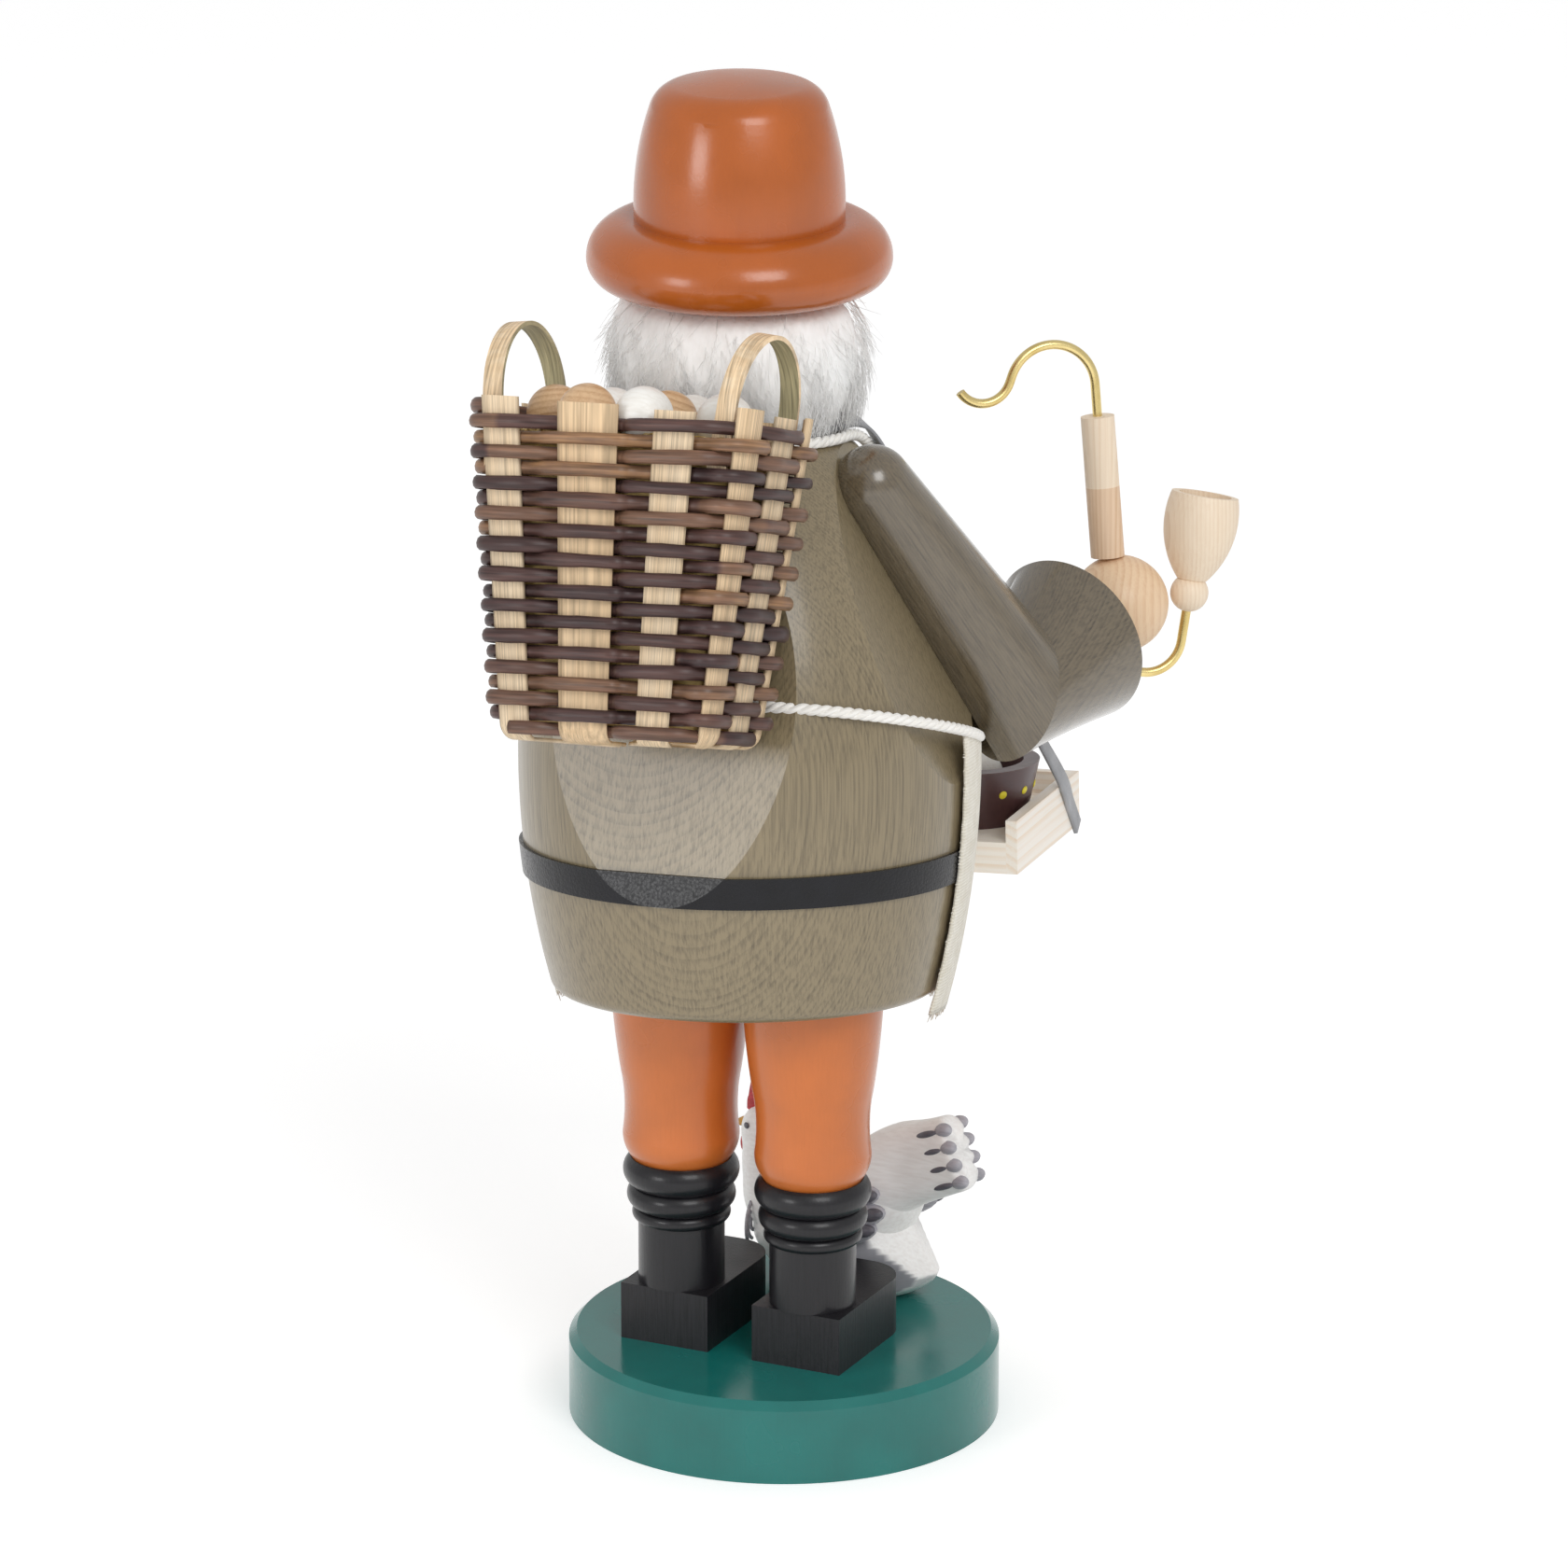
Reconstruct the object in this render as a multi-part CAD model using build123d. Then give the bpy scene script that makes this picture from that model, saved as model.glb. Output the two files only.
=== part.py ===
from build123d import *
import os
from math import asin, atan2, cos, degrees, radians, sin, sqrt, tan

os.makedirs("parts", exist_ok=True)

# German incense smoker: an egg seller with a pack basket, standing on a round base with a hen.
# Millimetres. The origin is the centre of the base's underside, +Z is up, the figure faces -Y.
# The whole upper figure (the coat and all that is glued to it) lifts off the hip plug along the
# leaning coat axis, so that an incense cone can be set on the tin plate.

# Driving sizes
base_radius = 46.0
base_height = 18.0
figure_x = 2.3
figure_y = 13.2
leg_spacing = 31.0
shoe_size = (20.5, 35.0, 12.5)
boot_height = 28.0
coat_bottom_height = 98.6
coat_radius = 47.6
coat_height = 117.5
coat_top_radius = 20.76
coat_turn = 8.0
coat_lean_forward = 7.0
coat_lean_left = 2.5
head_radius = 21.5
head_rise = 16.8
hat_brim_radius = 31.8
wood_dowel_radius = 3.0
cord_radius = 1.2
pipe_wire_radius = 1.0
tray_width = 89.0

# The coat stands in a frame of its own: origin at the centre of its underside, Z up the coat.
forward = Vector(sin(radians(coat_turn)), -cos(radians(coat_turn)), 0)
coat_up = Vector(tan(radians(coat_lean_left)), -tan(radians(coat_lean_forward)), 1)
coat_up = coat_up.rotate(Axis.Z, coat_turn).normalized()
coat_foot = Vector(figure_x, figure_y, coat_bottom_height)
coat_plane = Plane(origin=coat_foot, x_dir=coat_up.cross(forward).normalized(), z_dir=coat_up)


def on_coat(shape):
    """A shape built in the coat's frame, moved to its place on the figure."""
    return coat_plane.location * shape


def revolved(edges):
    """A turned piece: a closed half outline in the XZ plane, turned about Z."""
    return revolve(make_face(edges), Axis.Z)


def turned(*points):
    """A turned piece from straight outline points (radius, height), closed on its axis."""
    return revolved(Polyline(*[(r, 0, z) for r, z in points], close=True).edges())


def rod(start, end, radius):
    """A round rod between two points."""
    start, end = Vector(start), Vector(end)
    plane = Plane(origin=start, z_dir=(end - start).normalized())
    upright = Cylinder(radius, (end - start).length, align=(Align.CENTER, Align.CENTER, Align.MIN))
    return plane.location * upright


reach = 400.0


def half_space(plane):
    """The block on the +Z side of a plane, larger than the figure."""
    return plane.location * Box(reach, reach, reach, align=(Align.CENTER, Align.CENTER, Align.MIN))


def beyond(point, way):
    """The block beyond a point, on the side that a direction points to."""
    return half_space(Plane(origin=point, z_dir=way))


def ball(centre, radius):
    """A turned ball."""
    return Pos(*centre) * Sphere(radius)


egg_tip_share = 0.62


def egg(radius, length):
    """An egg on its blunt end, the middle of the blunt half in the origin."""
    tip_radius = radius * egg_tip_share
    tip = length - radius - tip_radius
    flare = asin((radius - tip_radius) / tip)
    side = (radius * cos(flare), 0, radius * sin(flare))
    tip_side = (tip_radius * cos(flare), 0, tip + tip_radius * sin(flare))
    blunt_middle = (radius * cos(radians(45)), 0, -radius * sin(radians(45)))
    tip_middle = (tip_radius * sin(radians(30)), 0, tip + tip_radius * cos(radians(30)))
    ends = (0, 0, -radius), (0, 0, tip + tip_radius)
    return revolved([ThreePointArc(ends[0], blunt_middle, side), Line(side, tip_side),
                     ThreePointArc(tip_side, tip_middle, ends[1]), Line(ends[1], ends[0])])


def mirrored(shape):
    """The same piece for the figure's other side, in the coat's frame."""
    return mirror(shape, about=Plane.YZ)


# Base: a turned disc with a chamfered upper edge, bored for the two leg dowels
base_chamfer = 1.7
leg_dowel_depth = 10.0
leg_dowel_top = coat_bottom_height + 13.0
leg_x = {"left": figure_x + leg_spacing / 2, "right": figure_x - leg_spacing / 2}


def leg_dowel(side):
    low = (leg_x[side], figure_y, base_height - leg_dowel_depth)
    high = (leg_x[side], figure_y, leg_dowel_top)
    return rod(low, high, wood_dowel_radius)


leg_dowels = [leg_dowel("left"), leg_dowel("right")]
disc = Pos(0, 0, base_height / 2) * Cylinder(base_radius, base_height)
base_plate = chamfer(disc.edges().sort_by(Axis.Z)[-1], base_chamfer) - leg_dowels

# Shoes: sawn blocks with rounded toes, heels in line behind the legs
shoe_heel_back = 8.4
shoe_toe_radius = 9.0


def shoe(side):
    width, length, height = shoe_size
    sole = Pos(0, shoe_heel_back - length / 2) * Rectangle(width, length)
    sole = fillet(sole.vertices().group_by(Axis.Y)[0], shoe_toe_radius)
    block = extrude(sole, height)
    return Pos(leg_x[side], figure_y, base_height) * block - leg_dowel(side)


# Boots: turned shafts with three rolled folds below the cuff, a shallow seat for the trouser leg
boot_bottom = base_height + shoe_size[2]
boot_shaft_radius = 9.2
boot_rolls = ((0.49, 0.60, 9.3, 10.5), (0.60, 0.785, 9.9, 11.6), (0.785, 1.0, 10.9, 12.4))
boot_seat_radius = 10.7
boot_seat_depth = 1.5


def boot(side):
    shaft_top = boot_rolls[0][0] * boot_height
    edges = [Line((0, 0, 0), (boot_shaft_radius, 0, 0)),
             Line((boot_shaft_radius, 0, 0), (boot_shaft_radius, 0, shaft_top))]
    corner = (boot_shaft_radius, 0, shaft_top)
    for low, high, crease, crown in boot_rolls:
        start, end = (crease, 0, low * boot_height), (crease, 0, high * boot_height)
        middle = (crown, 0, (low + high) / 2 * boot_height)
        edges += [Line(corner, start), ThreePointArc(start, middle, end)]
        corner = end
    top = (0, 0, boot_height)
    edges += [Line(corner, top), Line(top, (0, 0, 0))]
    seat = Pos(0, 0, boot_height) * Cylinder(boot_seat_radius, boot_seat_depth * 2)
    return Pos(leg_x[side], figure_y, boot_bottom) * (revolved(edges) - seat) - leg_dowel(side)


# Hip plug: its flange carries the coat, its spigot centres the coat's bore; both lean with the coat
counterbore_radius = 35.0
counterbore_depth = 12.0
chamber_radius = 27.0
spigot_clearance = 0.05
spigot_height = 10.0
flange_thickness = 7.0
flange_side_gap = 0.8
air_hole_radius = 3.0
air_hole_back = 20.0
flange_bottom = counterbore_depth - flange_thickness
spigot_top = counterbore_depth + spigot_height


def build_hip_plug():
    plug = turned((0, flange_bottom), (counterbore_radius - flange_side_gap, flange_bottom),
                  (counterbore_radius - flange_side_gap, counterbore_depth),
                  (chamber_radius - spigot_clearance, counterbore_depth),
                  (chamber_radius - spigot_clearance, spigot_top), (0, spigot_top))
    plug -= rod((0, air_hole_back, 0), (0, air_hole_back, 2 * spigot_top), air_hole_radius)
    return on_coat(plug - cone_plate_tack_shanks) - leg_dowels


# Cone plate: a tin disc on the spigot, held by two tacks
plate_radius = 15.0
plate_thickness = 0.8
tack_radius = 0.7
tack_head_radius = 1.8
tack_head_thickness = 0.6
tack_length = 7.0
tack_offset = 11.5
tack_places = [Pos(side * tack_offset, 0, spigot_top + plate_thickness) for side in (-1, 1)]
tack_shank = Pos(0, 0, -tack_length / 2) * Cylinder(tack_radius, tack_length)
tack_head = Pos(0, 0, tack_head_thickness / 2) * Cylinder(tack_head_radius, tack_head_thickness)
cone_plate_tack_shanks = [place * tack_shank for place in tack_places]
cone_plate_tacks = [on_coat(place * (tack_shank + tack_head)) for place in tack_places]
cone_plate = Pos(0, 0, spigot_top + plate_thickness / 2) * Cylinder(plate_radius, plate_thickness)
cone_plate = on_coat(cone_plate - cone_plate_tack_shanks)
hip_plug = build_hip_plug()

# Trouser legs: turned with a hem that swells above the boot, mitred on top to the leaning plug
leg_bottom = boot_bottom + boot_height - boot_seat_depth
leg_hem_radius = 10.5
leg_outline = ((11.8, 3.6), (12.4, 7.0), (12.0, 14.0), (12.8, 21.0), (14.2, 32.0), (14.8, 60.0))


def trouser_leg(side):
    points = [(leg_hem_radius, 0, boot_seat_depth)] + [(radius, 0, rise) for radius, rise in leg_outline]
    hem, top, foot = (leg_hem_radius, 0, 0), (0, 0, leg_outline[-1][1]), (0, 0, 0)
    edges = [Line(foot, hem), Line(hem, points[0])]
    edges += [ThreePointArc(*points[first:first + 3]) for first in (0, 2, 4)]
    edges += [Line(points[-1], top), Line(top, foot)]
    leg = Pos(leg_x[side], figure_y, leg_bottom) * revolved(edges)
    above_plug_seat = on_coat(half_space(Plane.XY.offset(flange_bottom)))
    return leg - above_plug_seat - leg_dowel(side)


# Coat: a turned barrel, planed flat behind for the basket and on both sides for the sleeves
coat_widest = 50.0
coat_skirt_curve = 182.0
coat_draw_in = coat_radius - coat_top_radius
coat_shoulder_curve = round(((coat_height - coat_widest) ** 2 + coat_draw_in ** 2) / (2 * coat_draw_in), 2)
coat_hem_radius = 3.0
back_facet = (4.7, 11.5, 49.9)
sleeve_facet = (88.8, 19.9, 60.3)
chamber_top = 64.0
chamber_shoulder = 14.0
smoke_bore_radius = 4.5


def facet_plane(turn, tilt, distance):
    """A flat on the coat: turned from straight behind to the figure's left, tilted to face up."""
    turn, tilt = radians(turn), radians(tilt)
    normal = Vector(sin(turn) * cos(tilt), cos(turn) * cos(tilt), sin(tilt))
    return Plane(origin=normal * distance, x_dir=Vector(-cos(turn), sin(turn), 0), z_dir=normal)


def coat_arc(curve, grow, start, end):
    """An arc of the coat's side between two heights, its middle level with the widest place."""
    middle = coat_radius - curve

    def point(height):
        return (middle + sqrt((curve + grow) ** 2 - (height - coat_widest) ** 2), 0, height)

    return ThreePointArc(point(start), point((start + end) / 2), point(end))


def barrel(grow, bottom, top):
    """The turned outline of the coat, grown by a skin, between two heights."""
    edges = [coat_arc(coat_skirt_curve, grow, bottom, min(top, coat_widest))]
    if top > coat_widest:
        edges.append(coat_arc(coat_shoulder_curve, grow, coat_widest, top))
    axis_low, axis_high = (0, 0, bottom), (0, 0, top)
    closing = [Line(axis_low, edges[0] @ 0), Line(edges[-1] @ 1, axis_high), Line(axis_high, axis_low)]
    return revolved(edges + closing)


def planed(shape, grow):
    """A shape cut by the coat's three flats, each moved out by a skin."""
    turn, tilt, distance = back_facet
    shape -= half_space(facet_plane(turn, tilt, distance + grow))
    turn, tilt, distance = sleeve_facet
    shape -= half_space(facet_plane(turn, tilt, distance + grow))
    shape -= half_space(facet_plane(-turn, tilt, distance + grow))
    return shape


head_left = 0.9
head_height = coat_height + head_rise
head_centre = Vector(head_left, 0, head_height)


def build_coat_shell():
    coat = barrel(0, 0, coat_height)
    coat = fillet(coat.edges().sort_by(Axis.Z)[0], coat_hem_radius)
    coat = planed(coat, 0)
    coat -= turned((0, -1), (counterbore_radius, -1), (counterbore_radius, counterbore_depth),
                   (chamber_radius, counterbore_depth), (chamber_radius, chamber_top),
                   (smoke_bore_radius, chamber_top + chamber_shoulder), (smoke_bore_radius, coat_height + 1),
                   (0, coat_height + 1))
    return coat - ball(head_centre, head_radius)


# Belt: a leather band round the coat, over the flat behind
belt_bottom = 25.2
belt_width = 6.6
belt_thickness = 0.9


def build_belt():
    skin = planed(barrel(belt_thickness, 0, coat_height), belt_thickness)
    slab = Pos(0, 0, belt_bottom + belt_width / 2) * Cylinder(2 * coat_radius, belt_width)
    core = planed(barrel(0, 0, coat_height), 0)
    return on_coat((skin & slab) - core)


# Sleeves: each a turned taper with a ball end, planed to the coat and mitred at the elbow
elbow_off_tray = 4.6
wrist_off_tray = 11.2
hand_off_tray = 18.6
shoulder = Vector(-29.6, 5.0, 108.5)
elbow = Vector(-tray_width / 2 - elbow_off_tray, -29.0, 61.7)
wrist = Vector(-tray_width / 2 - wrist_off_tray, -50.0, 68.4)
hand_centre = Vector(-tray_width / 2 - hand_off_tray, -63.0, 74.4)
shoulder_radius = 8.2
elbow_radius = 12.8
cuff_radius = 18.3
hand_radius = 10.4
hand_neck_radius = 6.5
sleeve_dowel_length = 18.0
shoulder_dowel_drop = 14.0
shoulder_dowel_in_coat = 8.1
shoulder_dowel_in_arm = 6.3
wrist_dowel_in_hand = 7.0
upper_arm_way = (elbow - shoulder).normalized()
forearm_way = (wrist - elbow).normalized()
mitre_plane = Plane(origin=elbow, z_dir=(upper_arm_way + forearm_way).normalized())
right_flat = facet_plane(-sleeve_facet[0], sleeve_facet[1], sleeve_facet[2])


def sleeve_taper():
    """The turned upper sleeve, cut square to the elbow's mitre."""
    length = (elbow - shoulder).length
    flare = asin((elbow_radius - shoulder_radius) / length)
    run = length + 2 * elbow_radius
    tip, far_end = (0, 0, -shoulder_radius), (0, 0, run)
    middle = (shoulder_radius * sin(radians(45)), 0, -shoulder_radius * cos(radians(45)))
    side = (shoulder_radius * cos(flare), 0, -shoulder_radius * sin(flare))
    end = (shoulder_radius / cos(flare) + run * tan(flare), 0, run)
    edges = [ThreePointArc(tip, middle, side), Line(side, end), Line(end, far_end), Line(far_end, tip)]
    sleeve = Plane(origin=shoulder, z_dir=upper_arm_way).location * revolved(edges)
    return sleeve - half_space(mitre_plane)


right_sleeve = sleeve_taper()
mitre_face = right_sleeve.faces().sort_by_distance(elbow)[0]
mitre_seam = mitre_face.outer_wire() @ 0 - elbow
cuff_seam = mitre_seam - forearm_way * mitre_seam.dot(forearm_way)
cuff_plane = Plane(origin=wrist, x_dir=cuff_seam, z_dir=forearm_way)


def dropped_on(plane, point):
    """The foot of the perpendicular from a point to a plane."""
    place = plane.to_local_coords(point)
    return plane.from_local_coords(Vector(place.X, place.Y, 0))


def dowel_through(middle, way, behind, ahead):
    """A dowel along a direction, reaching behind and ahead of a point."""
    return rod(middle - way * behind, middle + way * ahead, wood_dowel_radius)


elbow_dowel = dowel_through(elbow, mitre_plane.z_dir, sleeve_dowel_length / 2, sleeve_dowel_length / 2)
shoulder_dowel_middle = dropped_on(right_flat, shoulder + upper_arm_way * shoulder_dowel_drop)
shoulder_dowel = dowel_through(shoulder_dowel_middle, right_flat.z_dir, shoulder_dowel_in_coat,
                               shoulder_dowel_in_arm)
hand_root = dropped_on(cuff_plane, hand_centre)
wrist_dowel = dowel_through(hand_root, forearm_way, sleeve_dowel_length / 2, wrist_dowel_in_hand)


def build_upper_arm():
    return right_sleeve - beyond(right_flat.origin, -right_flat.z_dir) - elbow_dowel - shoulder_dowel


def build_forearm():
    cuff = cuff_plane * Circle(cuff_radius)
    return loft([mitre_face, cuff.face()], ruled=True) - elbow_dowel - wrist_dowel


def build_hand():
    return ball(hand_centre, hand_radius) + rod(hand_root, hand_centre, hand_neck_radius) - wrist_dowel


# Pipe: one brass wire from the mouthpiece hook down through both stem sleeves and the hand,
# then up in a J to the turned bowl. It lies in one upright plane through the hand.
mouth_way = Vector(0.83, 0.56, 0).normalized()
pipe_plane = Plane(origin=hand_centre, x_dir=-mouth_way, z_dir=(-mouth_way).cross(Vector(0, 0, 1)))
stem_lean = 4.5
stem_foot = 10.3
stem_length = 15.1
stem_radius = 3.6
stem_offset = -1.9
hook_radius = 9.5
hook_rise = 6.9
hook_turn = 156.0
hook_run = 1.6
hook_tip_radius = 6.2
hook_tip_turn = 125.0
bend_radius = 7.6
bend_drop = -8.2
bowl_lean = 9.5
bowl_wire_run = 9.5
bowl_seat_depth = 3.0
bead_radius = 4.1
bead_height = 7.0
cup_height = 18.4
cup_rim_radius = 7.2
cup_belly = (7.0, 7.0)
cup_foot_radius = 3.2
cup_wall = 1.5
cup_depth = 13.0
cup_floor_radius = 4.3
cup_floor_rise = 7.0
stem_way = Vector(-sin(radians(stem_lean)), cos(radians(stem_lean)), 0)
bowl_way = Vector(sin(radians(bowl_lean)), cos(radians(bowl_lean)), 0)


def stem_point(rise):
    """A point on the stem's axis at a height above the hand's middle, in the pipe's plane."""
    return Vector(stem_offset, 0, 0) + stem_way * (rise / cos(radians(stem_lean)))


hook_start = stem_point(stem_foot + 2 * stem_length + hook_rise)
hook = JernArc(hook_start, stem_way, hook_radius, hook_turn)
hook_line = Line(hook @ 1, (hook @ 1) + (hook % 1) * hook_run)
hook_tip = JernArc(hook_line @ 1, hook_line % 1, hook_tip_radius, -hook_tip_turn)
bend_start = stem_point(bend_drop)
bend = JernArc(bend_start, -stem_way, bend_radius, 180 - stem_lean - bowl_lean)
bowl_run = Line(bend @ 1, (bend @ 1) + bowl_way * bowl_wire_run)
bowl_foot = bowl_run @ 1


def build_pipe_wire():
    stem_line = Line(hook_start, bend_start)
    path = Wire([edge.edge() for edge in (hook_tip, hook_line, hook, stem_line, bend, bowl_run)])
    section = Plane(origin=hook_tip @ 1, z_dir=hook_tip % 1) * Circle(pipe_wire_radius)
    return pipe_plane.location * sweep(section, path=path)


def stem_sleeve(low):
    start, end = stem_point(low), stem_point(low + stem_length)
    return pipe_plane.location * rod(start, end, stem_radius)


def build_pipe_bowl():
    cup_top = bead_height + cup_height
    foot, rim = (cup_foot_radius, 0, bead_height), (cup_rim_radius, 0, cup_top)
    belly = (cup_belly[0], 0, bead_height + cup_belly[1])
    middle_low, middle_high = (0, 0, bead_height), (0, 0, cup_top)
    edges = [ThreePointArc(foot, belly, rim), Line(rim, middle_high), Line(middle_high, middle_low),
             Line(middle_low, foot)]
    bowl = revolved(edges) + ball((0, 0, bead_radius), bead_radius)
    inner_radius = cup_rim_radius - cup_wall
    cup_floor = cup_top - cup_depth
    bowl -= turned((0, cup_floor), (cup_floor_radius, cup_floor), (inner_radius, cup_floor + cup_floor_rise),
                   (inner_radius, cup_top + 1), (0, cup_top + 1))
    seat = Plane(origin=bowl_foot - bowl_way * bowl_seat_depth, z_dir=bowl_way)
    return pipe_plane.location * (seat.location * bowl)


# Pack basket: a woven shell on the flat behind, open on top, with a floor and two splint handles
basket_clearance = 0.05
basket_standoff = 2 * (cord_radius + basket_clearance)
basket_low = 47.3
basket_height = 68.0
basket_left = 1.5
basket_foot = (49.5, 36.0, 6.0)
basket_rim = (63.0, 44.0, 8.0)
basket_wall = 2.4
basket_floor_thickness = 2.0
handle_radius = 16.5
handle_width = 4.2
handle_gap = 1.3
handle_thickness = 0.9
handle_leg = 14.0
handle_rise = 1.0
basket_nail_radius = 0.8
basket_nail_head = (2.2, 0.8)
basket_nail_length = 14.0
basket_nail_spread = 12.0
basket_nail_drop = 28.0
basket_nail_rise = basket_height - basket_nail_drop
filling_drop = 7.0
basket_egg_radius = 6.0
basket_egg_gap = 0.5
back_flat = facet_plane(back_facet[0], back_facet[1], back_facet[2])
basket_origin = back_flat.origin + back_flat.y_dir * basket_low + back_flat.z_dir * basket_standoff
basket_origin -= back_flat.x_dir * basket_left
basket_plane = Plane(origin=basket_origin, x_dir=back_flat.x_dir, z_dir=back_flat.y_dir)


def basket_ring(height, inset):
    """The basket's rounded outline at a height above its foot, its front side in the plane Y = 0."""
    share = height / basket_height
    width, depth, corner = [low + (high - low) * share for low, high in zip(basket_foot, basket_rim)]
    outline = RectangleRounded(width - 2 * inset, depth - 2 * inset, corner - inset)
    return Pos(0, -depth / 2, height) * outline


def basket_taper(inset, low, high):
    """The tapering block inside the basket's outline, between two heights."""
    return loft([basket_ring(low, inset), basket_ring(high, inset)], ruled=True)


def on_basket(shape):
    return on_coat(basket_plane.location * shape)


def basket_nail(side):
    """A nail with a flat head, driven through the basket's front wall into the coat."""
    shank = Pos(0, 0, basket_nail_length / 2) * Cylinder(basket_nail_radius, basket_nail_length)
    head = Pos(0, 0, -basket_nail_head[1] / 2) * Cylinder(*basket_nail_head)
    return Pos(side * basket_nail_spread, -basket_wall, basket_nail_rise) * Rot(-90, 0, 0) * (shank + head)


basket_nail_shapes = [basket_nail(-1), basket_nail(1)]
basket_shell_shape = basket_taper(0, 0, basket_height) - basket_taper(basket_wall, 0, basket_height)
basket_shell_shape -= basket_nail_shapes
basket_floor_shape = basket_taper(basket_wall, 0, basket_floor_thickness)


def handle(side):
    """A splint bent to an arch over one end of the basket, its feet tucked inside the wall."""
    band = Circle(handle_radius) - Circle(handle_radius - handle_thickness)
    arch = extrude(Plane.YZ * band, handle_width / 2, both=True)
    arch -= beyond((0, 0, 0), (0, 0, -1))
    foot_y = handle_radius - handle_thickness / 2
    for end in (-1, 1):
        arch += Pos(0, end * foot_y, -handle_leg / 2) * Box(handle_width, handle_thickness, handle_leg)
    lean = degrees(atan2((basket_rim[0] - basket_foot[0]) / 2, basket_height))
    inside = basket_rim[0] / 2 - basket_wall - handle_width / 2 - handle_gap
    place = Pos(side * inside, -basket_rim[1] / 2, basket_height + handle_rise)
    return place * Rot(0, side * lean, 0) * arch


handles = {"right": handle(1), "left": handle(-1)}
filling_top = basket_height - filling_drop
filling_shape = basket_taper(basket_wall, basket_floor_thickness, filling_top)
filling_shape = filling_shape - basket_nail_shapes - list(handles.values())


def basket_eggs(colour):
    """Every second place of a grid of eggs lying on the filling, its corners left to the handles."""
    pitch = 2 * basket_egg_radius + basket_egg_gap
    eggs = []
    for row in (-1, 0, 1):
        for column in (-1.5, -0.5, 0.5, 1.5):
            corner = row != 0 and abs(column) > 1
            if (row + round(column - 0.5)) % 2 == colour and not corner:
                y = row * pitch - basket_rim[1] / 2
                place = (column * pitch, y, filling_top + basket_egg_radius)
                eggs.append(on_basket(ball(place, basket_egg_radius)))
    return eggs


# Apron: a canvas sheet over the front of the coat, its bib held by a cord round the neck
apron_gap = 1.0
apron_thickness = 0.8
apron_hem = -3.5
apron_edge_back = 2.8
waist_height = 56.6
waist_slope = 14.6
bib_half_width = 24.0
bib_drop = 18.5
bib_top = coat_height - bib_drop
waist_plane = Plane(origin=(0, 0, waist_height), x_dir=(1, 0, 0),
                    z_dir=(0, -sin(radians(waist_slope)), cos(radians(waist_slope))))


def build_apron():
    skin = barrel(apron_gap + apron_thickness, apron_hem, bib_top)
    skin -= barrel(apron_gap, apron_hem - 1, bib_top + 1)
    skin -= beyond((0, apron_edge_back, 0), (0, 1, 0))
    bib = Box(2 * bib_half_width, reach, reach, align=(Align.CENTER, Align.MAX, Align.CENTER))
    below_waist = beyond(waist_plane.origin - waist_plane.z_dir * cord_radius, -waist_plane.z_dir)
    return (skin & below_waist) + (skin & bib)


# Cords: cotton cord round the neck over both shoulders, and round the waist under the basket
neck_cord_out = 1.74
neck_cord_ring = coat_top_radius + neck_cord_out
neck_cord_height = coat_height
neck_cord_drop = 38.0
neck_cord_bend = 30.0
neck_cord_run = 15.0
cord_clearance = 0.25
waist_cord_ring = coat_radius + cord_radius + cord_clearance
waist_cord_corner = 7.0
waist_cord_front = 12.0


def build_neck_cord():
    """Half a ring behind the neck; at each end the cord bends over the shoulder and runs down the chest."""
    edges = [CenterArc((0, 0, neck_cord_height), neck_cord_ring, 0, 180).edge()]
    down = Vector(0, -cos(radians(neck_cord_drop)), -sin(radians(neck_cord_drop)))
    for side in (1, -1):
        ring_end = (side * neck_cord_ring, 0, neck_cord_height)
        bend_plane = Plane(origin=ring_end, x_dir=(0, -1, 0), z_dir=(-1, 0, 0))
        over_shoulder = bend_plane.location * JernArc((0, 0), (1, 0), neck_cord_bend, -neck_cord_drop).edge()
        run_start = over_shoulder @ 1
        edges += [over_shoulder, Line(run_start, run_start + down * neck_cord_run).edge()]
    path = Wire(edges)
    section = Plane(origin=path @ 0, z_dir=path % 0) * Circle(cord_radius)
    return sweep(section, path=path)


def build_waist_cord():
    """A ring round the waist, flattened behind the basket and open under the bib."""
    behind = beyond(back_flat.origin + back_flat.z_dir * (cord_radius + basket_clearance), back_flat.z_dir)
    loop = (waist_plane * Circle(waist_cord_ring)).face().cut(behind).faces()[0]
    loop = loop.fillet_2d(waist_cord_corner, loop.vertices())
    wire = loop.outer_wire()
    section = Plane(origin=wire @ 0, z_dir=wire % 0) * Circle(cord_radius)
    return sweep(section, path=wire) - beyond((0, -waist_cord_front, 0), (0, -1, 0))


# Tray: softwood boards in front of the belly, on two dowels, hung from a leather strap round the neck
tray_depth = 47.0
tray_wall = 2.5
tray_wall_height = 11.7
tray_floor_thickness = 6.8
tray_start = 49.5
tray_bottom = 17.0
tray_rise = 3.4
tray_dowel_radius = 2.0
tray_dowel_reach = 12.0
tray_dowel_spread = 12.0
tray_plane = Plane(origin=(0, -tray_start, tray_bottom), x_dir=(-1, 0, 0),
                   z_dir=(0, sin(radians(tray_rise)), cos(radians(tray_rise))))


def board(left, right, back, front, low, high):
    """A board in the tray's frame: X to the figure's right, Y forward."""
    block = Box(right - left, front - back, high - low)
    return tray_plane.location * (Pos((left + right) / 2, (back + front) / 2, (low + high) / 2) * block)


def tray_dowel(side):
    x, z = side * tray_dowel_spread, tray_floor_thickness / 2
    return tray_plane.location * rod((x, -tray_dowel_reach, z), (x, tray_dowel_reach, z), tray_dowel_radius)


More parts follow.
